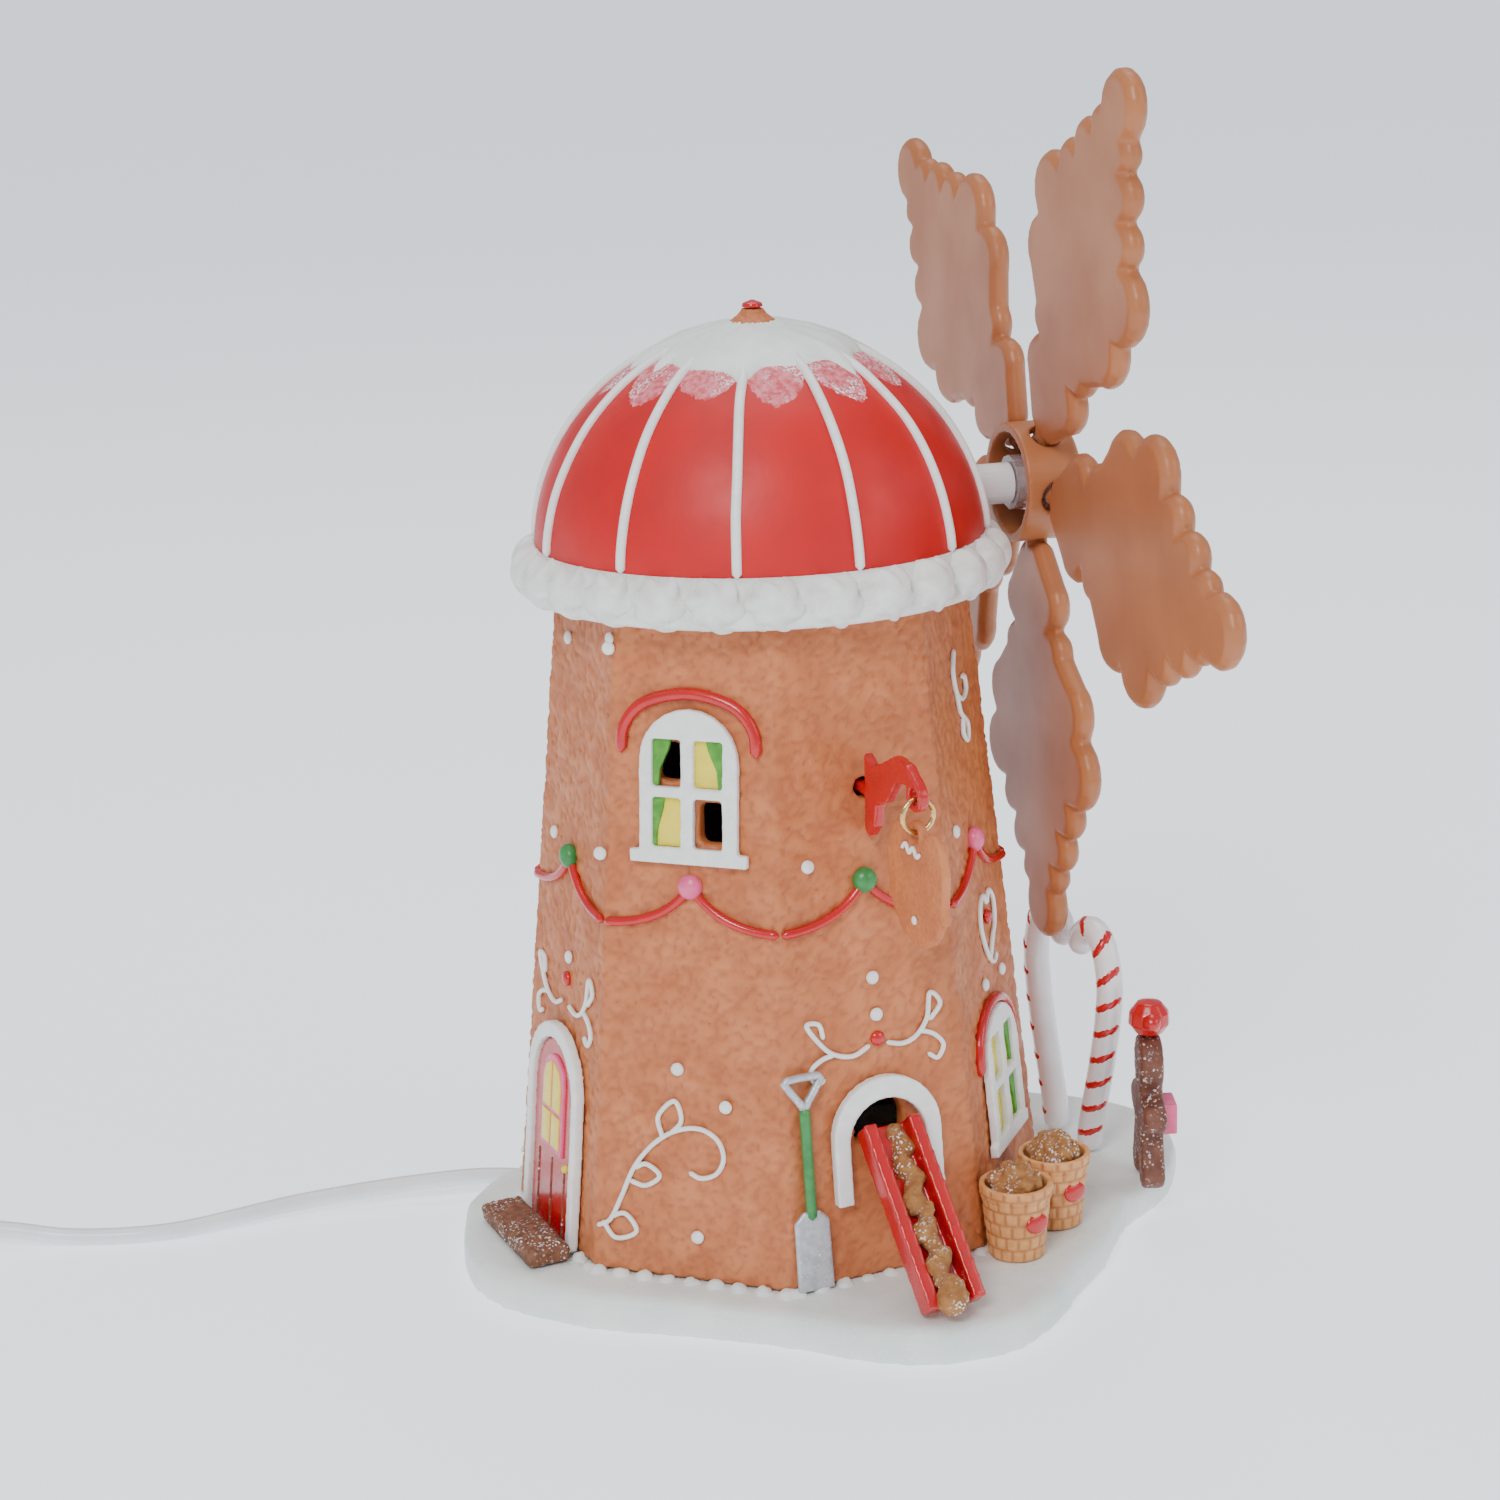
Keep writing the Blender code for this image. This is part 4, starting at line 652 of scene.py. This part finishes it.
def make_door():
    softened("door_frame", "door_surround", "icing", voxel=0.45, rounds=3)
    softened("front_door", "door_leaf", "red", voxel=0.45, rounds=2)
    softened("door_step", "plank_step", "plank", voxel=0.6, rounds=2,
             relief=lambda p, n: 0.35 * noise.noise(Vector((p.x * 1.2, p.y * 0.12, p.z * 1.2))), deepest=0.35)
    place = face_place(DOOR, DOOR_FOOT_Z, 1.6)
    head = arc((0.0, 39.5), 7.2, 0.0, 180.0, 16)
    slab("door_light_frame", [(-7.2, 21.5), (7.2, 21.5)] + head, 0.9, place, "pink", edge=0.3)
    glass = place @ Matrix.Translation((0, 0, 0.65))
    for side in (-1, 1):
        low_pane = [(side * 0.6, 23.0), (side * 5.7, 23.0), (side * 5.7, 31.4), (side * 0.6, 31.4)]
        high_pane = [(side * 0.6, 32.6), (side * 5.7, 32.6), (side * 5.7, 39.5), (side * 4.2, 43.2),
                     (side * 0.6, 45.0)]
        for level, outline in enumerate((low_pane, high_pane)):
            if side < 0:
                outline.reverse()
            slab("door_glass_%d_%d" % (side, level), outline, 0.6, glass, "yellow", edge=0.15)
    for x in (-8.6, 0.0, 8.6):
        grooves = [place @ Vector((x, y, 0.15)) for y in (1.0, 10.0, 19.5)]
        piped("door_groove_%d" % x, [grooves], 0.35, "plank")
    knob = place @ Matrix.Translation((10.4, 20.0, 0.7))
    balls("door_knob", [(knob, (1.1, 1.1, 1.1))], "yellow")


# ---------------------------------------------------------------- garland, dots and curls

GARLAND_HALF = [(0.0, 107.2), (3.4, 103.6), (7.6, 100.6), (12.6, 98.6), (17.6, 97.6), (22.5, 97.3)]
PINK_DROP_FACES = [SIDE_WINDOW, UPPER_WINDOW, 135.0, 45.0]
DOTS = {
    UPPER_WINDOW: [(-21.0, 163.6), (-23.5, 113.8), (-3.6, 62.2), (8.9, 54.0), (1.6, 20.6)],
    CHUTE: [(-14.5, 112.7), (0.5, 83.3), (0.9, 74.1)],
    SIDE_WINDOW: [(11.5, 69.9), (-12.5, 113.0), (-3.0, 70.5)],
    DOOR: [(-8.0, 160.7), (-11.6, 110.6), (1.7, 81.9), (18.5, 165.5)],
    135.0: [(-12.0, 113.0), (9.0, 52.0), (0.0, 80.0), (12.0, 160.0)],
    90.0: [(13.0, 112.0), (-9.0, 50.0), (0.0, 22.0), (-10.0, 162.0)],
    45.0: [(-12.0, 113.0), (10.0, 60.0), (0.0, 30.0), (4.0, 158.0)],
    0.0: [(12.0, 112.0), (-8.0, 64.0), (0.0, 34.0)],
}
RED_DOTS = [(CHUTE, 0.8, 68.2), (DOOR, 1.0, 76.2), (SIDE_WINDOW, 4.5, 86.0), (90.0, 0.0, 72.0),
            (0.0, 0.0, 80.0)]

LEAFY_CURL = [
    [(-25.0, 20.5), (-21.5, 22.5), (-18.5, 28.5), (-15.0, 36.5), (-10.0, 42.8), (-4.0, 46.8), (2.1, 47.9),
     (6.8, 45.6), (8.4, 41.2), (6.6, 37.2), (2.6, 35.6), (-0.6, 36.8)],
    [(-7.5, 44.8), (-8.6, 50.0), (-4.4, 54.2), (-2.6, 49.5), (-5.6, 45.8)],
    [(-16.2, 33.0), (-12.0, 32.2), (-8.3, 35.0), (-11.8, 37.6), (-15.0, 36.2)],
    [(-23.5, 22.0), (-20.0, 18.0), (-14.5, 20.2), (-17.5, 24.4), (-21.8, 22.9)],
]
SIDE_SWIRLS = [
    [(-1.4, 66.9), (-6.0, 65.0), (-11.0, 66.2), (-14.6, 69.4), (-17.8, 74.4), (-14.6, 74.2), (-13.6, 70.4)],
    [(-11.0, 66.2), (-14.6, 65.4), (-17.4, 63.2), (-16.4, 59.8), (-13.8, 60.6)],
    [(3.0, 66.8), (7.6, 65.8), (11.4, 67.2), (14.4, 71.0), (15.6, 77.0), (18.2, 74.0), (15.0, 70.2)],
    [(12.2, 68.2), (16.0, 66.6), (18.4, 63.6), (16.6, 60.6), (14.0, 62.2)],
]
HEART_CURL = [
    [(3.0, 75.0), (0.2, 79.5), (-1.6, 85.0), (-0.4, 90.4), (2.6, 92.0), (4.6, 89.2)],
    [(3.0, 75.0), (6.4, 79.6), (9.8, 83.6), (10.4, 89.0), (7.4, 92.0), (4.6, 89.2)],
    [(3.0, 75.0), (6.2, 73.8), (8.6, 75.4)],
]
TALL_CURL = [
    [(1.0, 155.5), (-1.4, 150.4), (-0.4, 145.0), (3.6, 142.4), (7.2, 144.0), (6.8, 147.4), (4.4, 147.6)],
    [(-0.4, 145.0), (1.2, 139.6), (5.6, 135.8), (4.4, 131.8), (1.6, 134.2), (2.6, 138.0)],
]


def mirrored(lines):
    return [[(-x, z) for x, z in line] for line in lines]


def lifted(lines, rise):
    return [[(x, z + rise) for x, z in line] for line in lines]


CURLS = [
    (UPPER_WINDOW, LEAFY_CURL), (CHUTE, SIDE_SWIRLS), (SIDE_WINDOW, HEART_CURL), (SIDE_WINDOW, TALL_CURL),
    (DOOR, lifted(SIDE_SWIRLS, 3.0)), (135.0, mirrored(LEAFY_CURL)), (135.0, lifted(SIDE_SWIRLS, 62.0)),
    (90.0, SIDE_SWIRLS), (90.0, mirrored(TALL_CURL)), (45.0, lifted(HEART_CURL, 52.0)), (45.0, LEAFY_CURL),
    (0.0, lifted(SIDE_SWIRLS, 8.0)),
]


def make_decoration():
    swags = []
    for azimuth in ALL_FACES:
        for side in (-1, 1):
            swags.append([on_face(azimuth, side * x, z, 0.5) for x, z in GARLAND_HALF])
    piped("garland", swags, 1.15, "red")
    for azimuth in ALL_FACES:
        finish = "pink" if azimuth in PINK_DROP_FACES else "green"
        balls("gumdrop_%d" % azimuth, [(face_place(azimuth, 107.5, 0.9), (3.1, 3.1, 2.3))], finish)
    spots = [(face_place(azimuth, z, 0.4) @ Matrix.Translation((x, 0, 0)), (1.65, 1.65, 0.9))
             for azimuth, places in DOTS.items() for x, z in places]
    balls("icing_dots", spots, "icing")
    red_spots = [(face_place(azimuth, z, 0.4) @ Matrix.Translation((x, 0, 0)), (1.9, 1.9, 1.1))
                 for azimuth, x, z in RED_DOTS]
    balls("red_dots", red_spots, "red")
    lines = [[on_face(azimuth, x, z, 0.4) for x, z in line] for azimuth, curl in CURLS for line in curl]
    piped("icing_curls", lines, 0.62, "icing")


# ---------------------------------------------------------------- roof

DOME_WALL = 4.0
BUSH_HOLE_R = 7.7
RIB_COUNT = 12
RIB_RADII = (55.9, 55.2, 53.0, 49.0, 43.5, 36.5, 29.0, 20.0)
RIB_RADII_OVER_AXLE = (50.6, 47.0, 42.0, 36.0, 29.0, 20.0)


def on_dome(radius, azimuth, out=0.0):
    """A point on the dome's skin, lifted along its normal."""
    angle = math.radians(azimuth)
    rise = max(0.02, math.sqrt(max(0.0, 1.0 - (radius / DOME_R) ** 2)))
    normal = Vector((radius / DOME_R ** 2, 0.0, rise / DOME_RISE)).normalized()
    across, height = radius + normal.x * out, dome_height(radius) + normal.z * out
    return Vector((across * math.cos(angle), across * math.sin(angle), height))


def make_dome():
    skirt = low("roof_dome").z
    steps = 26
    outer = [(DOME_R * math.cos(math.radians(90.0 * i / steps)),
              DOME_FOOT_Z + DOME_RISE * math.sin(math.radians(90.0 * i / steps))) for i in range(steps)]
    inner = [((DOME_R - DOME_WALL) * math.cos(math.radians(90.0 * i / steps)),
              DOME_FOOT_Z + (DOME_RISE - DOME_WALL) * math.sin(math.radians(90.0 * i / steps)))
             for i in range(steps)]
    profile = [(DOME_R, skirt)] + outer + [(0.0, DOME_FOOT_Z + DOME_RISE)]
    profile += [(0.0, DOME_FOOT_Z + DOME_RISE - DOME_WALL)] + inner[::-1] + [(DOME_R - DOME_WALL, skirt)]
    dome = from_builder("dome_shell", turned_builder(profile, 96))
    bm = bmesh.new()
    bmesh.ops.create_cone(bm, cap_ends=True, segments=48, radius1=BUSH_HOLE_R, radius2=BUSH_HOLE_R,
                          depth=40.0)
    place = Matrix.Translation((DOME_R, 0, AXLE_Z)) @ ALONG_X
    tool = from_builder("dome_hole", bm, place)
    hole = dome.modifiers.new("hole", "BOOLEAN")
    hole.operation = "DIFFERENCE"
    hole.solver = "EXACT"
    hole.object = tool
    apply_modifiers(dome)
    bpy.data.objects.remove(tool, do_unlink=True)
    dome.data.set_sharp_from_angle(angle=math.radians(40.0))
    settle(dome, "dome", nodes=["roof_dome"])

    ribs = []
    for number in range(RIB_COUNT):
        azimuth = TOWER_TURN + 360.0 * number / RIB_COUNT
        radii = RIB_RADII_OVER_AXLE if number == 0 else RIB_RADII
        ribs.append([on_dome(r, azimuth + 0.8 * noise.noise(Vector((r * 0.12, number * 3.1, 0))), 0.35)
                     for r in radii])
    piped("dome_ribs", ribs, 1.2, "icing")


def dome_patch(name, edge_radius, thick, finish):
    """A layer on the dome out to edge_radius(degrees), rounded down to the skin at its rim."""
    rings, sectors = 16, 180
    bm = bmesh.new()
    top = bm.verts.new(on_dome(0.0, 0.0, thick))
    under = bm.verts.new(on_dome(0.0, 0.0, -0.5))
    rows = []
    for i in range(1, rings + 1):
        share = i / rings
        lift = thick * math.sqrt(max(0.0, 1.0 - share ** 6)) - 0.05
        row = []
        for k in range(sectors):
            azimuth = 360.0 * k / sectors
            swell = 1.0 + 0.25 * noise.noise(Vector((share * 5.0, azimuth * 0.09, 7.0)))
            row.append(bm.verts.new(on_dome(edge_radius(azimuth) * share, azimuth, lift * swell)))
        rows.append(row)
    rows.append([bm.verts.new(on_dome(edge_radius(360.0 * k / sectors), 360.0 * k / sectors, -0.5))
                 for k in range(sectors)])
    for k in range(sectors):
        following = (k + 1) % sectors
        bm.faces.new((top, rows[0][k], rows[0][following]))
        bm.faces.new((under, rows[-1][following], rows[-1][k]))
        for inner_row, outer_row in zip(rows, rows[1:]):
            bm.faces.new((inner_row[k], outer_row[k], outer_row[following], inner_row[following]))
    obj = from_builder(name, bm)
    obj.data.set_sharp_from_angle(angle=math.radians(60.0))
    return settle(obj, finish)


def edge_wave(azimuth, pace, seed):
    """Slow noise round the dome that meets itself after a full turn."""
    turn = math.radians(azimuth)
    return noise.noise(Vector((math.cos(turn) * pace, math.sin(turn) * pace, seed)))


def cap_edge(azimuth):
    """Radius of the snow cap's edge, with a drip down each rib."""
    wave = edge_wave(azimuth, 2.3, 1.0)
    drips = max(0.0, math.cos(math.radians(azimuth - TOWER_TURN) * RIB_COUNT / 2 + 2.4 * wave))
    return 26.5 + 3.4 * wave + 5.0 * drips ** 3


def frost_edge(azimuth):
    """Radius of the pink frosting's edge, widest in the middle of each panel."""
    wave = edge_wave(azimuth, 3.1, 5.0)
    panel = abs(math.sin(math.radians(azimuth - TOWER_TURN) * RIB_COUNT / 2))
    return 28.5 + 9.5 * panel ** 0.6 + 4.0 * wave


def make_roof():
    make_dome()
    dome_patch("pink_frosting", frost_edge, 0.22, "pink_frost")
    dome_patch("snow_cap", cap_edge, 1.9, "snow")
    softened("finial_knob", "biscuit_knob", "gingerbread", voxel=0.4, rounds=2,
             relief=pebbled(2.4, 0.2), deepest=0.3)
    softened("finial_drop", "cherry_drop", "red", voxel=0.25, rounds=2)


# ---------------------------------------------------------------- rotor and sign

def make_rotor():
    softened("rotor_hub", "hub_cup", "blade", voxel=0.5, rounds=2, body="rotor")
    for number in range(1, 6):
        node = "blade_%d" % number
        softened(node, "lobed_" + node, "blade", voxel=0.6, rounds=5, body="rotor")


SIGN_AZIMUTH = -82.5


def facing_across(point, normal):
    """Only the sign's two broad faces take the relief."""
    return abs(normal.x) > 0.6


def make_sign():
    softened("sign_bracket", "scroll_bracket", "red", voxel=0.4, rounds=3)
    softened("sign_plate", "biscuit_sign", "gingerbread", voxel=0.45, rounds=2, body="sign",
             relief=pebbled(2.6, 0.16, facing_across), deepest=0.3)
    softened("sign_ring", "wire_ring", "gold", voxel=0.16, rounds=2, body="ring")
    low_corner, high_corner = low("sign_plate"), high("sign_plate")
    facing = math.radians(SIGN_AZIMUTH)
    outward = Vector((math.cos(facing), math.sin(facing), 0.0))
    across = Vector((outward.y, -outward.x, 0.0))
    middle = (low_corner + high_corner) / 2
    half = 1.45
    wave = [(-5.6, 7.4), (-3.6, 9.0), (-1.9, 7.2), (0.0, 8.8), (1.9, 7.0), (3.4, 8.2)]
    lines = []
    for side in (-1, 1):
        lines.append([middle + outward * x + across * half * side + Vector((0, 0, z)) for x, z in wave])
    piped("sign_icing", lines, 0.5, "icing", body="sign")
    turn = across.to_track_quat("Z", "Y").to_matrix().to_4x4()
    spots = [(Matrix.Translation(middle + across * half * side + Vector((0, 0, -8.8))) @ turn,
              (1.1, 1.1, 0.5))
             for side in (-1, 1)]
    balls("sign_dot", spots, "icing", body="sign")


# ---------------------------------------------------------------- chute, shovel and buckets

def make_chute():
    softened("chute_arch", "arch_surround", "icing", voxel=0.42, rounds=3)
    softened("chute", "chute_trough", "red", voxel=0.45, rounds=4)
    node_low, node_high = low("chute_dough"), high("chute_dough")
    start = Vector(((node_low.x + node_high.x) / 2 - 1.0, node_high.y, node_high.z - 3.6))
    end = Vector(((node_low.x + node_high.x) / 2 + 1.0, node_low.y, node_low.z + 3.4))
    spots = []
    for i in range(15):
        share = (i + 0.4) / 15
        weave = Vector((1.1 * math.sin(i * 1.9), 0.0, 0.5 * math.cos(i * 2.7)))
        spots.append((start.lerp(end, share) + weave, 2.7 + 0.5 * math.sin(i * 2.3)))
    spots.append((end + Vector((0.4, -0.6, -0.4)), 3.9))
    lumps("tumbling_dough", spots, "dough", 0.4, 0.5, nodes=["chute_dough"])


def make_shovel():
    softened("shovel_blade", "shovel_pan", "silver", voxel=0.35, rounds=3)
    place = face_place(CHUTE, 9.0) @ Matrix.Translation((-20.5, 0.0, 1.7))
    shaft = [place @ Vector((0, y, 0)) for y in (18.0, 32.0, 46.5)]
    piped("shovel_shaft", [shaft], 1.35, "green", nodes=["shovel_handle"])
    grip = [(0.0, 45.5), (-1.0, 47.5), (-4.0, 51.8), (-4.2, 53.6), (4.2, 53.6), (4.0, 51.8), (1.0, 47.5),
            (0.0, 45.5)]
    piped("shovel_grip", [[place @ Vector((x, y, 0)) for x, y in grip]], 1.0, "silver")


BUCKETS = ("bucket_front", "bucket_back")
TAG_AZIMUTH = -72.0
LOWER_LUMPS, LOWER_LUMP_R = 9, 4.3
UPPER_LUMPS, UPPER_LUMP_R = 4, 2.2


def brickwork(centre, rows=5, around=15):
    """Relief of staggered pressed blocks round an upright bucket."""
    def relief(point, normal):
        if abs(normal.z) > 0.6:
            return 0.0
        spot = Vector((point.x - centre[0], point.y - centre[1]))
        if spot.x * normal.x + spot.y * normal.y < 0.0:
            return 0.0
        row = (point.z - SNOW_Z) / 17.0 * rows
        column = math.atan2(spot.y, spot.x) / math.tau * around + 0.5 * (math.floor(row) % 2)
        edge = min(abs(row - round(row)) * 3.4, abs(column - round(column)) * 3.0)
        return -0.42 * max(0.0, 1.0 - edge / 0.55)
    return relief


def make_buckets():
    for name in BUCKETS:
        x, y, _ = (low(name) + high(name)) / 2
        softened(name, name + "_cone", "wicker", voxel=0.4, rounds=2,
                 relief=brickwork((x, y)), deepest=0.42)
        rim = high(name).z
        heap = [(Vector((x, y, rim - 0.8)), 5.0)]
        for i in range(LOWER_LUMPS):
            turn = math.tau * i / LOWER_LUMPS
            z = rim - 0.4 + 0.7 * math.sin(i * 2.1)
            heap.append((Vector((x + LOWER_LUMP_R * math.cos(turn), y + LOWER_LUMP_R * math.sin(turn), z)), 2.6))
        for i in range(UPPER_LUMPS):
            turn = math.tau * i / UPPER_LUMPS + 0.6
            z = rim + 2.2
            heap.append((Vector((x + UPPER_LUMP_R * math.cos(turn), y + UPPER_LUMP_R * math.sin(turn), z)), 2.5))
        lumps(name + "_heap", heap, "dough", 0.4, 0.6, nodes=[name + "_dough"])
        turn = Matrix.Translation((x, y, SNOW_Z + 10.5)) @ Matrix.Rotation(math.radians(TAG_AZIMUTH), 4, "Z")
        tag = turn @ Matrix.Translation((8.0, 0, 0)) @ Matrix.Rotation(math.radians(83.0), 4, "Y")
        balls(name + "_tag", [(tag, (2.5, 3.4, 0.8))], "red")


# ---------------------------------------------------------------- candy canes and figure

HEART_CENTRE = (82.5, -1.5)
HEART_YAW = 9.0
CANE_R = 3.5
CANE_SIDE = [(8.5, 9.4), (8.7, 14.4), (10.5, 22.0), (14.5, 36.0), (17.6, 50.0), (18.2, 60.0), (15.6, 68.4),
             (10.4, 71.8), (5.4, 69.2), (4.0, 63.5)]
STROKE_SPACING = 7.6


def make_canes():
    place = Matrix.Translation((*HEART_CENTRE, 0)) @ Matrix.Rotation(math.radians(HEART_YAW), 4, "Z")
    strokes = []
    for node, side in (("candy_cane_left", 1), ("candy_cane_right", -1)):
        path = smooth_path([place @ Vector((0, side * y, z)) for y, z in CANE_SIDE], 0.6)
        settle(line_object(node + "_stick", [path], CANE_R, sides=6), "candy", nodes=[node])
        count = int(path_length(path) / STROKE_SPACING)
        for number in range(1, count):
            strokes.append(cane_stroke(path, number * STROKE_SPACING, side))
    lines = line_object("cane_strokes", strokes, 1.5)
    settle(lines, "red")


def cane_stroke(path, distance, side):
    """A slanted stroke wound part of the way round the stick at a distance along it."""
    points = []
    for step in range(13):
        share = step / 12
        index = min(len(path) - 2, int((distance + 5.0 * (share - 0.5)) / 0.6))
        along = (path[index + 1] - path[index]).normalized()
        across = along.cross(Vector((1, 0, 0))).normalized()
        turn = math.radians(-170.0 * share * side + 90.0 + 30.0 * side)
        outward = across * math.cos(turn) + along.cross(across) * math.sin(turn)
        points.append(path[index] + outward * (CANE_R - 1.2))
    return points


FIGURE_PLACE = Matrix.Translation((90.5, -33.0, 9.3)) @ Matrix.Rotation(math.radians(-16.0), 4, "Z")


def make_figure():
    softened("ginger_figure", "biscuit_figure", "biscuit", voxel=0.45, rounds=4,
             relief=lambda p, n: 0.12 * noise.noise(p * 0.8), deepest=0.4)
    softened("figure_bow", "bow_knot", "red", voxel=0.35, rounds=2)
    loops = [(FIGURE_PLACE @ Matrix.Translation((0, side * 3.8, 44.6)), (2.6, 3.2, 2.6)) for side in (-1, 1)]
    balls("bow_loops", loops, "red")
    box = [(-4.4, 14.0), (4.4, 14.0), (4.4, 22.0), (-4.4, 22.0)]
    upright = FIGURE_PLACE @ Matrix(((0, 0, 1, 2.6), (1, 0, 0, 0), (0, 1, 0, 0), (0, 0, 0, 1)))
    slab("pink_parcel", box, 4.2, upright, "pink", edge=0.5)


# ---------------------------------------------------------------- switch and plug

def make_fittings():
    """The switch's two pieces and the plug's two rounded ones, which go with the lead's ends."""
    switch = [
        softened("switch_body", "switch_case", "white_plastic", voxel=0.5, rounds=3),
        softened("switch_rocker", "rocker_key", "white_plastic", voxel=0.3, rounds=2,
                 body="rocker"),
    ]
    plug = [
        softened("plug_grip", "plug_neck", "white_plastic", voxel=0.5, rounds=2),
        softened("plug_body", "plug_case", "white_plastic", voxel=0.5, rounds=4),
    ]
    return switch, plug


# ---------------------------------------------------------------- mains lead

CORD_R = 2.2
CORD_TO_SWITCH = [
    (-61.8, 38.9, 5.0), (-70.0, 40.4, 5.8), (-80.0, 42.0, 5.9), (-98.7, 44.9, 5.0), (-120.3, 45.9, 3.9),
    (-134.0, 44.6, 3.2), (-147.2, 42.8, 2.7), (-156.0, 42.8, 2.4), (-165.2, 44.0, 2.4), (-174.0, 46.4, 2.4),
    (-183.0, 49.4, 2.8), (-193.0, 52.5, 4.6), (-202.4, 55.6, 5.8),
]
CORD_TO_COIL = [
    (-245.6, 70.5, 5.8), (-254.0, 73.2, 5.0), (-264.0, 77.0, 3.2), (-275.0, 82.0, 2.5), (-285.0, 87.6, 2.4),
    (-293.6, 94.4, 2.4),
]
CORD_TO_PLUG = [
    (-291.6, 144.3, 2.4), (-284.5, 153.2, 3.0), (-275.0, 160.2, 5.2), (-264.0, 164.6, 7.4), (-253.0, 166.2, 8.0),
]
COIL_CENTRE = (-268.0, 118.0)
COIL_ENTRY = 206.0             # degrees about the coil where the lead comes in, winding clockwise
COIL_EXIT = 150.0
COIL_OUTSIDE_R = 33.5
EARLY = 114.0                  # degrees before the crossing where a turn starts to move over
TURN_PITCH = 2 * CORD_R
# Column (0 is the outer one) and layer of each turn, so that both ends are on the outside
TURN_CELLS = [(0, 0), (1, 0), (2, 0), (2, 1), (2, 2), (1, 2), (1, 1), (0, 1), (0, 2)]


def eased(share):
    share = min(1.0, max(0.0, share))
    return share * share * (3.0 - 2.0 * share)


def coil_points():
    """The wound length: each turn keeps its own column and layer and moves over on the way to the next."""
    cells = [(28.4 - TURN_PITCH * column, CORD_R + TURN_PITCH * layer) for column, layer in TURN_CELLS]
    stops = [(COIL_OUTSIDE_R, 2.4)] + cells + [(COIL_OUTSIDE_R, 2.4)]
    shift = COIL_ENTRY - COIL_EXIT
    total = 360.0 * len(cells) + shift
    step = 15.0
    points = []
    for i in range(int(total / step) + 1):
        run = i * step
        number = min(int((run + EARLY) / 360.0), len(stops) - 2)
        local = run - 360.0 * number
        start = 0.0 if number == 0 else -EARLY
        rise_start = 0.0 if number in (0, len(cells)) else -EARLY
        radius_share = eased((local - start) / (shift - start))
        rise_share = eased((local - rise_start) / (shift - rise_start))
        radius = stops[number][0] + (stops[number + 1][0] - stops[number][0]) * radius_share
        z = stops[number][1] + (stops[number + 1][1] - stops[number][1]) * rise_share
        angle = math.radians(COIL_ENTRY - run)
        points.append((COIL_CENTRE[0] + radius * math.cos(angle),
                       COIL_CENTRE[1] + radius * math.sin(angle), z))
    return points


def make_lead():
    switch, plug = make_fittings()
    near = smooth_path(CORD_TO_SWITCH, 4.0)
    first = line_object("lead_to_switch", [near], CORD_R, tapered=False)
    settle(first, "cord", nodes=["cord_to_switch"])
    path_length(near) * MM

    far = smooth_path(CORD_TO_COIL + coil_points() + CORD_TO_PLUG, 4.0)
    second = line_object("lead_to_plug", [far], CORD_R, tapered=False)
    settle(second, "cord", nodes=["cord_to_coil", "cord_coil", "cord_to_plug"])
    plug += [NODES["plug_blade_1"], NODES["plug_blade_2"]]
    tie = make_coil_tie()
    path_length(far) * MM


def make_coil_tie():
    """A thin flat strap round the coil's turns, opposite the lead's way in."""
    heading = math.radians(20.0)
    outward = Vector((math.cos(heading), math.sin(heading), 0.0))
    across = Vector((-outward.y, outward.x, 0.0))
    middle = Vector((*COIL_CENTRE, 6.7)) + outward * 24.0
    loop = [(-6.6, -6.6), (6.6, -6.6), (6.9, 0.0), (6.6, 6.8), (0.0, 7.0), (-6.6, 6.8), (-6.9, 0.0)]
    rings = [[middle + outward * x + Vector((0, 0, z)) + across * side for x, z in loop]
             for side in (-2.0, 2.0)]
    bm = bmesh.new()
    rows = [[bm.verts.new(p) for p in ring] for ring in rings]
    for i in range(len(loop)):
        k = (i + 1) % len(loop)
        bm.faces.new((rows[0][i], rows[0][k], rows[1][k], rows[1][i]))
    strap = from_builder("coil_tie", bm)
    thick = strap.modifiers.new("thickness", "SOLIDIFY")
    thick.thickness = 0.3 * MM
    apply_modifiers(strap)
    return settle(strap, "cover")


# ---------------------------------------------------------------- the whole scene

def main():
    make_camera()
    make_stage()
    paint_nodes()
    make_tower()
    make_collar()
    make_windows()
    make_door()
    make_decoration()
    make_roof()
    make_rotor()
    make_sign()
    make_chute()
    make_shovel()
    make_buckets()
    make_canes()
    make_figure()
    make_lead()


main()
